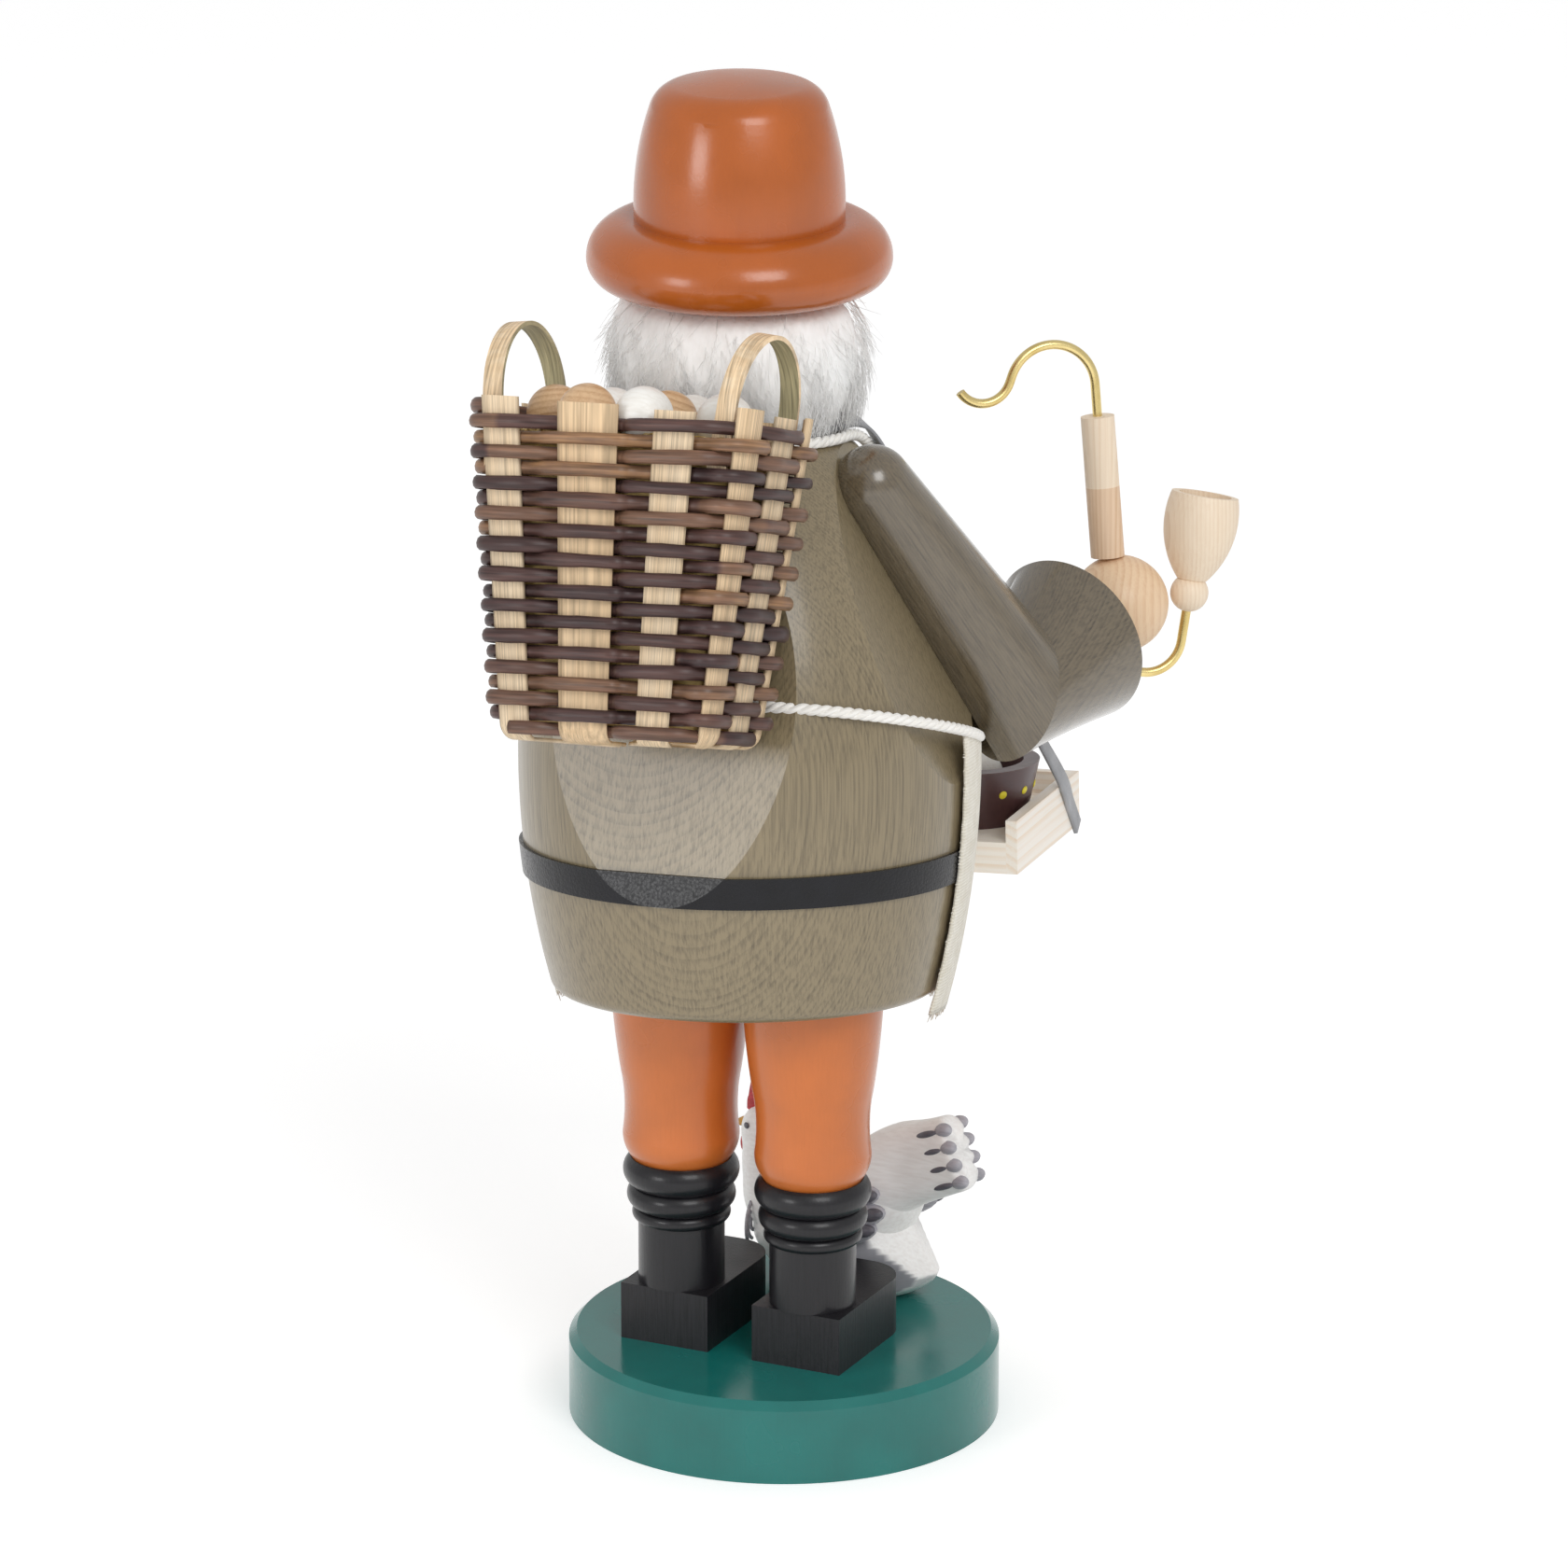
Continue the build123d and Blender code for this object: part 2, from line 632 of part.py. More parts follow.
tray_dowel_shapes = [tray_dowel(-1), tray_dowel(1)]
tray_inner = tray_width / 2 - tray_wall
tray_floor = board(-tray_inner, tray_inner, 0, tray_depth - tray_wall, 0, tray_floor_thickness)
tray_floor -= tray_dowel_shapes
tray_right_wall = board(tray_inner, tray_width / 2, 0, tray_depth, 0, tray_wall_height)
tray_left_wall = board(-tray_width / 2, -tray_inner, 0, tray_depth, 0, tray_wall_height)
tray_front_wall = board(-tray_inner, tray_inner, tray_depth - tray_wall, tray_depth, 0, tray_wall_height)

# Bowl with an egg: turned, standing in the tray on the figure's right
bowl_radius = 14.5
bowl_foot_radius = 11.3
bowl_height = 13.0
bowl_rim_width = 3.5
bowl_floor = 2.5
bowl_well_taper = 2.5
bowl_egg_tilt = (70, 0, 35)
bowl_to_wall = 13.4
bowl_place = (tray_inner - bowl_to_wall, 20.5, tray_floor_thickness)
bowl_egg_radius = 6.6
bowl_egg_length = 16.0


def build_bowl():
    well = bowl_radius - bowl_rim_width
    bowl = turned((0, 0), (bowl_foot_radius, 0), (bowl_radius, bowl_height), (well, bowl_height),
                  (well - bowl_well_taper, bowl_floor), (0, bowl_floor))
    return tray_plane.location * (Pos(*bowl_place) * bowl)


def build_bowl_egg():
    place = Pos(*bowl_place) * Pos(0, 0, bowl_floor + bowl_egg_radius) * Rot(*bowl_egg_tilt)
    return tray_plane.location * (place * egg(bowl_egg_radius, bowl_egg_length))


# Strap: a leather band from the tray's side walls up to the neck and round behind it
strap_width = 4.0
strap_thickness = 0.8
strap_neck_ring = 18.2
strap_side = -tray_width / 2 - strap_thickness / 2
strap_low = Vector(strap_side, -92.0, 21.0)
strap_bend = Vector(strap_side, -80.5, 33.0)
strap_over_cord = 0.7
strap_off_collar = 3.44
strap_shoulder = Vector(-coat_top_radius - strap_off_collar, -12.0,
                        coat_height + strap_width / 2 + strap_over_cord)
strap_front = -2.0
strap_top = Vector(-strap_neck_ring - strap_thickness / 2, strap_front + 1.0, coat_height + strap_width / 2)


def strap_run(start, end):
    """A straight length of strap, its flat side facing the figure's sides."""
    way = (end - start).normalized()
    plane = Plane(origin=(start + end) / 2, x_dir=way.cross(Vector(1, 0, 0)).normalized(), z_dir=way)
    return plane.location * Box(strap_width, strap_thickness, (end - start).length + strap_thickness)


def build_strap():
    ring = Circle(strap_neck_ring + strap_thickness) - Circle(strap_neck_ring)
    neck = Pos(0, 0, coat_height) * extrude(ring, strap_width)
    neck -= beyond((0, strap_front, 0), (0, -1, 0))
    half = strap_run(strap_low, strap_bend) + strap_run(strap_bend, strap_shoulder)
    half += strap_run(strap_shoulder, strap_top)
    return neck + half + mirrored(half)


# Head: a ball with a smoke way from the neck to the mouth
mouth_radius = 2.6
mouth_drop = 8.0
nose_radius = 3.2
nose_rise = 0.5
nose_out = 1.0
hair_thickness = 6.0
fur_bottom = coat_height + strap_width + 1.6
face_front = 6.0
beard_mouth_gap = 1.0
beard_top = -3.0
head_middle = coat_plane.from_local_coords(head_centre)


def at_head(shape):
    """A shape built upright round the head's middle, turned to look forward like the coat."""
    return Pos(*head_middle) * Rot(0, 0, coat_turn) * shape


def mouth_bore(radius):
    return at_head(rod((0, 0, -mouth_drop), (0, -2 * head_radius, -mouth_drop), radius))


def build_head():
    smoke_way = on_coat(rod((0, 0, head_height - 2 * head_radius), (0, 0, head_height), smoke_bore_radius))
    return ball(head_middle, head_radius) - smoke_way - mouth_bore(mouth_radius) - hat_dowel


def build_nose():
    nose_middle = (0, -head_radius - nose_out, nose_rise)
    return at_head(ball(nose_middle, nose_radius)) - ball(head_middle, head_radius)


def fur_shell():
    """A thick layer of fur on the head, from the hat down to the collar."""
    shell = Sphere(head_radius + hair_thickness) - Sphere(head_radius)
    shell -= beyond((0, 0, brim_bottom), (0, 0, 1))
    return at_head(shell) & on_coat(half_space(Plane.XY.offset(fur_bottom)))


# Hat: a rolled brim ring on the head and a turned crown, pinned by a dowel
brim_bottom = 14.5
brim_low_round = 5.9
brim_high_round = 8.4
crown_rise = brim_bottom + brim_low_round + brim_high_round
crown_height = 29.4
crown_foot_radius = 21.9
crown_top_radius = 17.2
crown_swell = 1.5
crown_dome = 2.1
crown_round = 6.5
hat_dowel_reach = 12.0
brim_bore = sqrt(head_radius ** 2 - brim_bottom ** 2)
hat_dowel_ends = (0, 0, head_radius - hat_dowel_reach), (0, 0, crown_rise + hat_dowel_reach)
hat_dowel = at_head(rod(*hat_dowel_ends, wood_dowel_radius))


def quarter(start, end, middle_radius, middle_height):
    """A quarter round between two outline points about a middle point."""
    radius = max(abs(start[0] - middle_radius), abs(start[1] - middle_height))
    half_way = radius * cos(radians(45))
    side = half_way if end[1] + start[1] > 2 * middle_height else -half_way
    bulge = (middle_radius + half_way, 0, middle_height + side)
    return ThreePointArc((start[0], 0, start[1]), bulge, (end[0], 0, end[1]))


def build_brim():
    widest = brim_bottom + brim_low_round
    low_middle, high_middle = hat_brim_radius - brim_low_round, hat_brim_radius - brim_high_round
    bore_low, bore_high = (brim_bore, 0, brim_bottom), (brim_bore, 0, crown_rise)
    edges = [Line(bore_low, (low_middle, 0, brim_bottom)),
             quarter((low_middle, brim_bottom), (hat_brim_radius, widest), low_middle, widest),
             quarter((hat_brim_radius, widest), (high_middle, crown_rise), high_middle, widest),
             Line((high_middle, 0, crown_rise), bore_high), Line(bore_high, bore_low)]
    return at_head(revolved(edges)) - ball(head_middle, head_radius)


def build_crown():
    crown_top = crown_rise + crown_height
    foot, corner = (crown_foot_radius, 0, crown_rise), (crown_top_radius, 0, crown_top - crown_dome)
    swell = ((foot[0] + corner[0]) / 2 + crown_swell, 0, (foot[2] + corner[2]) / 2)
    top, bottom = (0, 0, crown_top), (0, 0, crown_rise)
    dome_middle = (crown_top_radius / 2, 0, crown_top - crown_dome / 4)
    edges = [Line(bottom, foot), ThreePointArc(foot, swell, corner), ThreePointArc(corner, dome_middle, top),
             Line(top, bottom)]
    crown = revolved(edges)
    rim = crown.edges().filter_by(lambda edge: edge.is_closed).sort_by(Axis.Z)[-1]
    return at_head(fillet(rim, crown_round)) - hat_dowel


# Hen: one carved and painted piece, seated on the base in front of the shoes
hen_place = (0.5, -30.0)
hen_turn = -9.0
hen_breast = Vector(9.0, 0, 11.0)
hen_breast_radius = 13.0
hen_rump = Vector(-11.0, 0, 11.0)
hen_rump_radius = 12.0
hen_neck_radius = 9.0
hen_head = Vector(20.5, 0, 30.5)
hen_head_radius = 5.4
hen_comb = (8.0, 2.4, 6.0)
hen_comb_rise = 6.4
hen_beak_length = 7.9
hen_beak_radius = 1.6
hen_tail_outline = ((-5, 5), (-30, 24), (-31, 34), (-24, 40), (-3, 21))
hen_tail_thickness = 9.0
taper_share = 0.98


def taper(start, start_radius, end, end_radius):
    """A round taper between two points, a little inside the balls of those radii."""
    length = (end - start).length
    cone = Cone(start_radius * taper_share, end_radius * taper_share, length,
                align=(Align.CENTER, Align.CENTER, Align.MIN))
    return Plane(origin=start, z_dir=(end - start).normalized()).location * cone


def build_hen():
    hen = ball(hen_breast, hen_breast_radius) + ball(hen_rump, hen_rump_radius)
    hen += taper(hen_rump, hen_rump_radius, hen_breast, hen_breast_radius)
    hen += taper(hen_breast, hen_neck_radius, hen_head, hen_head_radius) + ball(hen_head, hen_head_radius)
    hen += Pos(*(hen_head + Vector(0, 0, hen_comb_rise))) * Box(*hen_comb)
    hen += rod(hen_head, hen_head + Vector(hen_beak_length, 0, 0), hen_beak_radius)
    tail = make_face(Polyline(*hen_tail_outline, close=True))
    hen += extrude(Plane.XZ * tail, hen_tail_thickness / 2, both=True)
    hen -= beyond((0, 0, 0), (0, 0, -1))
    return Pos(*hen_place, base_height) * Rot(0, 0, hen_turn) * hen


# Put the pieces together: what is bored for a neighbour is cut here
coat_body = build_coat_shell() - shoulder_dowel - mirrored(shoulder_dowel) - tray_dowel_shapes
coat_body -= [basket_plane.location * nail for nail in basket_nail_shapes]
upper_arm = build_upper_arm()
forearm = build_forearm()
hand = build_hand()
pipe_wire = build_pipe_wire()
apron = build_apron() - tray_dowel_shapes
neck_cord = build_neck_cord()
waist_cord = build_waist_cord()
hat_brim = build_brim()
hair_and_beard = fur_shell() - hat_brim
front_of_face = at_head(beyond((0, -face_front, 0), (0, -1, 0)))
below_nose = at_head(beyond((0, 0, beard_top), (0, 0, -1)))
beard = (hair_and_beard & front_of_face & below_nose) - mouth_bore(mouth_radius + beard_mouth_gap)

nodes = {
    "base_plate": base_plate,
    "left_shoe": shoe("left"),
    "right_shoe": shoe("right"),
    "left_boot": boot("left"),
    "right_boot": boot("right"),
    "left_trouser_leg": trouser_leg("left"),
    "right_trouser_leg": trouser_leg("right"),
    "leg_dowels": leg_dowels,
    "hip_plug": hip_plug,
    "cone_plate": cone_plate,
    "cone_plate_tacks": cone_plate_tacks,
    "hen": build_hen(),
    "coat_body": on_coat(coat_body),
    "belt": build_belt(),
    "right_upper_arm": on_coat(upper_arm),
    "left_upper_arm": on_coat(mirrored(upper_arm)),
    "right_forearm": on_coat(forearm),
    "left_forearm": on_coat(mirrored(forearm)),
    "right_hand": on_coat(hand - pipe_wire),
    "left_hand": on_coat(mirrored(hand)),
    "shoulder_dowels": [on_coat(shoulder_dowel), on_coat(mirrored(shoulder_dowel))],
    "elbow_dowels": [on_coat(elbow_dowel), on_coat(mirrored(elbow_dowel))],
    "wrist_dowels": [on_coat(wrist_dowel), on_coat(mirrored(wrist_dowel))],
    "pipe_wire": on_coat(pipe_wire),
    "pipe_stem_lower": on_coat(stem_sleeve(stem_foot) - pipe_wire - hand),
    "pipe_stem_upper": on_coat(stem_sleeve(stem_foot + stem_length) - pipe_wire),
    "pipe_bowl": on_coat(build_pipe_bowl() - pipe_wire),
    "basket_shell": on_basket(basket_shell_shape),
    "basket_floor": on_basket(basket_floor_shape),
    "basket_right_handle": on_basket(handles["right"]),
    "basket_left_handle": on_basket(handles["left"]),
    "basket_nails": [on_basket(nail) for nail in basket_nail_shapes],
    "basket_filling": on_basket(filling_shape),
    "brown_eggs": basket_eggs(0),
    "white_eggs": basket_eggs(1),
    "apron": on_coat(apron),
    "apron_neck_cord": on_coat(neck_cord),
    "apron_waist_cord": on_coat(waist_cord),
    "tray_floor": on_coat(tray_floor),
    "tray_right_wall": on_coat(tray_right_wall),
    "tray_left_wall": on_coat(tray_left_wall),
    "tray_front_wall": on_coat(tray_front_wall),
    "tray_dowels": [on_coat(dowel) for dowel in tray_dowel_shapes],
    "tray_strap": on_coat(build_strap()),
    "bowl": on_coat(build_bowl()),
    "bowl_egg": on_coat(build_bowl_egg()),
    "head": build_head(),
    "nose": build_nose(),
    "hair_fur": hair_and_beard - front_of_face,
    "beard_fur": beard,
    "hat_brim": hat_brim,
    "hat_crown": build_crown(),
    "hat_dowel": hat_dowel,
}

for name, shape in nodes.items():
    solids = [solid for part in (shape if isinstance(shape, list) else [shape]) for solid in part.solids()]
    export_step(Compound(label=name, children=solids), f"parts/{name}.step")
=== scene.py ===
from math import cos, pi, radians, sin, tan

import bmesh
import bpy
import numpy as np
from mathutils import Matrix, Vector


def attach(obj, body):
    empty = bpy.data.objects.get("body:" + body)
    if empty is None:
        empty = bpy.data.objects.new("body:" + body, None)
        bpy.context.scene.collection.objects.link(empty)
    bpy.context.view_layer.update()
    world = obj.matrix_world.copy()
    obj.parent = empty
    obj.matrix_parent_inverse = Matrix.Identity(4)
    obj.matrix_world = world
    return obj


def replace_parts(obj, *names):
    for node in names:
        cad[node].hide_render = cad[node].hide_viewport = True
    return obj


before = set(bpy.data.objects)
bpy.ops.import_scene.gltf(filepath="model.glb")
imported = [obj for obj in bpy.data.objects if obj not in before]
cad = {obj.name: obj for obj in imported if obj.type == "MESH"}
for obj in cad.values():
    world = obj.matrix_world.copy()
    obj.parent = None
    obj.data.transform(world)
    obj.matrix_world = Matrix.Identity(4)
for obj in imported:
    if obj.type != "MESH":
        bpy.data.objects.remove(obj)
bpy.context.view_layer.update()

mm = 0.001


# Base plate: a turned beech disc with a broken edge, which the shoes and the hen are glued to.
# It is sprayed with a satin teal lacquer; the fibres of the wood just show through the colour.
def linear(code):
    """The linear colour of an sRGB hex code."""
    parts = np.array([int(code[i:i + 2], 16) for i in (1, 3, 5)]) / 255
    return (*np.where(parts <= 0.04045, parts / 12.92, ((parts + 0.055) / 1.055) ** 2.4).tolist(), 1.0)


def add(tree, kind, inputs, **settings):
    """A node with its settings; each input takes a value or, from another node's output, a link."""
    node = tree.nodes.new("ShaderNode" + kind)
    for name, value in settings.items():
        setattr(node, name, value)
    for name, value in inputs.items():
        if isinstance(value, bpy.types.NodeSocket):
            tree.links.new(value, node.inputs[name])
        else:
            node.inputs[name].default_value = value
    return node.outputs


def material(name, constants):
    """A material with the constant sockets of its shader set; returns it with its tree and shader."""
    made = bpy.data.materials.new(name)
    made.use_nodes = True
    shader = made.node_tree.nodes["Principled BSDF"]
    for socket, value in constants.items():
        shader.inputs[socket].default_value = value
    return made, made.node_tree, shader


def link(tree, shader, sockets):
    """The outputs that drive the shader, by the name of its socket."""
    for name, output in sockets.items():
        tree.links.new(output, shader.inputs[name])


def dress(made, *names):
    """CAD pieces in a material."""
    for name in names:
        cad[name].data.materials.clear()
        cad[name].data.materials.append(made)


def in_mm(tree, place=(0, 0, 0), turn=(0, 0, 0)):
    """Where a point of the object lies in mm, from a place and along turned axes."""
    where = add(tree, "TexCoord", {})["Object"]
    return add(tree, "Mapping", {"Vector": where, "Location": place, "Rotation": turn,
                                 "Scale": (mm, mm, mm)}, vector_type="TEXTURE")[0]


def lacquer(name, colour, deep, roughness, grain, coat=0.3, shine=0.5):
    """Lacquer on turned wood: upright fibres darken the colour a little and ripple the film, and
    slow clouds change its gloss."""
    made, tree, shader = material(name, {"Coat Weight": coat, "Coat Roughness": 0.16,
                                         "Specular IOR Level": shine})
    place = in_mm(tree)
    upright = add(tree, "Mapping", {"Vector": place, "Scale": (1.9, 1.9, 0.09)})[0]
    fibre = add(tree, "TexNoise", {"Vector": upright, "Scale": 1.0, "Detail": 4.0, "Roughness": 0.62})[0]
    cloud = add(tree, "TexNoise", {"Vector": place, "Scale": 0.06, "Detail": 3.0})[0]
    peel = add(tree, "TexNoise", {"Vector": place, "Scale": 1.1, "Detail": 1.0})[0]
    share = add(tree, "MapRange", {"Value": fibre, "From Min": 0.42, "From Max": 0.72, "To Max": grain})[0]
    stained = add(tree, "MixRGB", {"Fac": share, "Color1": linear(colour), "Color2": linear(deep)})[0]
    tone = add(tree, "MapRange", {"Value": cloud, "From Min": 0.3, "From Max": 0.7,
                                  "To Min": 0.9, "To Max": 1.08})[0]
    shade = add(tree, "HueSaturation", {"Color": stained, "Value": tone})[0]
    gloss = add(tree, "MapRange", {"Value": cloud, "From Min": 0.3, "From Max": 0.7,
                                   "To Min": roughness - 0.06, "To Max": roughness + 0.08})[0]
    height = add(tree, "Math", {0: share, 1: -1.2, 2: peel}, operation="MULTIPLY_ADD")[0]
    bump = add(tree, "Bump", {"Height": height, "Strength": 0.35, "Distance": 0.06 * mm})[0]
    link(tree, shader, {"Base Color": shade, "Roughness": gloss, "Normal": bump})
    return made


dress(lacquer("teal_lacquer", "#0F6F69", "#0C5C57", 0.2, 0.1, 0.15), "base_plate")


# Shoes and boots: each shoe is a sawn block with a round toe, glued on the base; each boot is turned
# with soft rolls like wrinkled leather. Both are black with open pores, and the rolls catch the light.
dress(lacquer("black_shoe_lacquer", "#1F1E22", "#0A0A0C", 0.42, 0.8, 0.1, 0.35), "left_shoe", "right_shoe")
dress(lacquer("black_boot_lacquer", "#1A191D", "#0B0B0D", 0.36, 0.5, 0.2, 0.35), "left_boot", "right_boot")


# Trouser legs: turned pegs, narrow at the hem, that carry the hip plug. The lacquer is a warm brown,
# glossier than the boots, with thin darker fibres.
dress(lacquer("brown_trouser_lacquer", "#CB6F30", "#A85A20", 0.3, 0.1),
      "left_trouser_leg", "right_trouser_leg")


# Hip plug, tin plate and pins: bare turned wood that the loose coat stands on, with a tin plate
# tacked on top for the incense cone. They show only when the coat is lifted off.
def grained_wood(name, pale, dark, pith, ring, roughness, contrast=0.75, streak=0.5, wander=3.0,
                 coat=0.0):
    """Wood as cut from a log: pith gives a point on the middle of the log and the turn of its axis.
    Each growth ring darkens outwards and ends sharply, rings wander by slow noise, and fibres streak
    along the log."""
    made, tree, shader = material(name, {"Coat Weight": coat, "Coat Roughness": 0.2})
    place = in_mm(tree, *pith)
    slow = add(tree, "Mapping", {"Vector": place, "Scale": (0.03, 0.03, 0.012)})[0]
    drift = add(tree, "TexNoise", {"Vector": slow, "Scale": 1.0, "Detail": 2.0})[1]
    moved = add(tree, "VectorMath", {0: drift, 1: (2 * wander,) * 3, 2: place}, operation="MULTIPLY_ADD")[0]
    across = add(tree, "VectorMath", {0: moved, 1: (1.0, 1.0, 0.0)}, operation="MULTIPLY")[0]
    radius = add(tree, "VectorMath", {0: across}, operation="LENGTH")["Value"]
    years = add(tree, "Math", {0: radius, 1: ring}, operation="DIVIDE")[0]
    season = add(tree, "Math", {0: years}, operation="FRACT")[0]
    year = add(tree, "Math", {0: years}, operation="FLOOR")[0]
    harsh = add(tree, "TexWhiteNoise", {"W": year}, noise_dimensions="1D")["Value"]
    summer = add(tree, "MapRange", {"Value": season, "From Min": 0.25, "From Max": 0.85},
                 interpolation_type="SMOOTHSTEP")[0]
    winter = add(tree, "MapRange", {"Value": season, "From Min": 1.0, "From Max": 0.88},
                 interpolation_type="SMOOTHSTEP")[0]
    late = add(tree, "Math", {0: summer, 1: winter}, operation="MULTIPLY")[0]
    depth = add(tree, "MapRange", {"Value": harsh, "To Min": 0.35 * contrast, "To Max": contrast})[0]
    lines = add(tree, "Math", {0: late, 1: depth}, operation="MULTIPLY")[0]
    along = add(tree, "Mapping", {"Vector": place, "Scale": (2.0, 2.0, 0.035)})[0]
    fibre = add(tree, "TexNoise", {"Vector": along, "Scale": 1.0, "Detail": 4.0, "Roughness": 0.65})[0]
    thread = add(tree, "MapRange", {"Value": fibre, "From Min": 0.35, "From Max": 0.7,
                                    "To Min": -0.25 * streak, "To Max": 0.6 * streak})[0]
    share = add(tree, "Math", {0: lines, 1: thread}, operation="ADD", use_clamp=True)[0]
    colour = add(tree, "MixRGB", {"Fac": share, "Color1": linear(pale), "Color2": linear(dark)})[0]
    gloss = add(tree, "MapRange", {"Value": fibre, "To Min": roughness - 0.1, "To Max": roughness + 0.12})[0]
    bump = add(tree, "Bump", {"Height": share, "Strength": 0.2, "Distance": -0.06 * mm})[0]
    link(tree, shader, {"Base Color": colour, "Roughness": gloss, "Normal": bump})
    return made


def metal(name, colour, dull, roughness, scratch):
    """Bare metal: fine scratches cross each other and change the gloss; clouds of tarnish dull it."""
    made, tree, shader = material(name, {"Metallic": 1.0})
    place = in_mm(tree)
    fine = add(tree, "TexNoise", {"Vector": place, "Scale": scratch, "Detail": 5.0, "Distortion": 1.5})[0]
    cloud = add(tree, "TexNoise", {"Vector": place, "Scale": 0.12, "Detail": 3.0})[0]
    tarnish = add(tree, "MapRange", {"Value": cloud, "From Min": 0.42, "From Max": 0.75, "To Max": 0.7})[0]
    tint = add(tree, "MixRGB", {"Fac": tarnish, "Color1": linear(colour), "Color2": linear(dull)})[0]
    gloss = add(tree, "MapRange", {"Value": fine, "From Min": 0.3, "From Max": 0.7,
                                   "To Min": roughness - 0.07, "To Max": roughness + 0.12})[0]
    bump = add(tree, "Bump", {"Height": fine, "Strength": 0.12, "Distance": 0.03 * mm})[0]
    link(tree, shader, {"Base Color": tint, "Roughness": gloss, "Normal": bump})
    return made


upright_log = (0.002, 0.03, 0), (0, 0, 0)
bare_beech = grained_wood("bare_beech", "#E6C6A2", "#B98D62", upright_log, 1.6, 0.55)
dress(bare_beech, "hip_plug", "leg_dowels")
dress(metal("tin_plate", "#B9BCC0", "#77797C", 0.35, 2.0), "cone_plate")
dress(metal("steel_pin", "#A5A7AA", "#5E5C5A", 0.3, 3.0), "cone_plate_tacks", "basket_nails")


# Hen: a hand carved sitting hen, its rump planed with a knife, painted white with grey wings and tail
# tips; the comb and wattle are red leather glued in, and the beak is a painted peg.
hen_foot, hen_turn = (0.5, -30.0, 18.0), radians(-9)


def skin(name, points, made, body, sheet=False, uv=None, tone=None):
    """A mesh over grids of points, shaped (pieces, rows, columns, 3) in metres: four neighbours make a
    face, and points that meet at seams and poles become one. uv and tone give each point's own."""
    points = np.asarray(points, float)
    rows, columns = points.shape[-3:-1]
    corner = np.arange(points.size // 3).reshape(-1, rows, columns)
    faces = np.stack((corner[:, :-1, :-1], corner[:, :-1, 1:], corner[:, 1:, 1:], corner[:, 1:, :-1]),
                     -1).reshape(-1, 4)
    mesh = bpy.data.meshes.new(name)
    mesh.from_pydata(points.reshape(-1, 3).tolist(), [], faces.tolist())
    if uv is not None:
        layer = mesh.uv_layers.new(name="UVMap")
        layer.data.foreach_set("uv", np.asarray(uv, float).reshape(-1, 2)[faces.ravel()].ravel())
    if tone is not None:
        tones = mesh.attributes.new("tone", "FLOAT", "POINT")
        tones.data.foreach_set("value", np.broadcast_to(tone, points.shape[:-1]).ravel())
    work = bmesh.new()
    work.from_mesh(mesh)
    bmesh.ops.remove_doubles(work, verts=work.verts, dist=0.0002 * mm)
    if not sheet:
        bmesh.ops.recalc_face_normals(work, faces=work.faces)
    work.to_mesh(mesh)
    work.free()
    mesh.polygons.foreach_set("use_smooth", np.ones(len(mesh.polygons), bool))
    mesh.materials.append(made)
    piece = bpy.data.objects.new(name, mesh)
    bpy.context.scene.collection.objects.link(piece)
    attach(piece, body)
    return piece


def flow(knots, count):
    """A smooth line through the knots: the slope at each knot is half the step between its neighbours."""
    knots = np.asarray(knots, float)
    ends = np.concatenate((2 * knots[:1] - knots[1:2], knots, 2 * knots[-1:] - knots[-2:-1]))
    place = np.linspace(0, len(knots) - 1, count)
    start = np.minimum(place.astype(int), len(knots) - 2)
    t = (place - start)[:, None]
    a, b, c, d = (ends[start + i] for i in range(4))
    return 0.5 * (2 * b + (c - a) * t + (2 * a - 5 * b + 4 * c - d) * t ** 2
                  + (3 * b - a - 3 * c + d) * t ** 3)


def unit(vectors):
    """Vectors at length one."""
    vectors = np.asarray(vectors, float)
    return vectors / np.linalg.norm(vectors, axis=-1, keepdims=True)


def lens(middle, along, across, out, rows=7, columns=20):
    """Domes of paint or wood: an ellipse on two half axes that rises by the out vector, and closes
    below by the same shape turned in. All are arrays (pieces, 3)."""
    middle, along, across, out = (np.asarray(v, float).reshape(-1, 1, 1, 3)
                                  for v in (middle, along, across, out))
    rise = np.linspace(pi / 2, -pi / 2, rows)[:, None, None]
    turn = np.linspace(0, 2 * pi, columns)[None, :, None]
    low = np.where(rise < 0, 0.5, 1.0)
    return middle + np.cos(rise) * (np.cos(turn) * along + np.sin(turn) * across) + low * np.sin(rise) * out


def on_base(points):
    """Points in mm of the hen's own frame, x to its head and z up from the base, in metres."""
    turn = np.array(((cos(hen_turn), sin(hen_turn), 0), (-sin(hen_turn), cos(hen_turn), 0), (0, 0, 1)))
    return (np.asarray(points) @ turn + hen_foot) * mm


def rounded(turn, power):
    """An outline between an ellipse and a box: the cosine and sine to a power, each with its sign."""
    return np.stack([np.sign(part(turn)) * abs(part(turn)) ** power for part in (np.cos, np.sin)], -1)


def planed(points, way, reach):
    """Points with a flat cut: whatever stands past the plane is pressed back onto it."""
    way = unit(way)
    past = np.maximum(points @ way - reach, 0)
    return points - past[..., None] * way


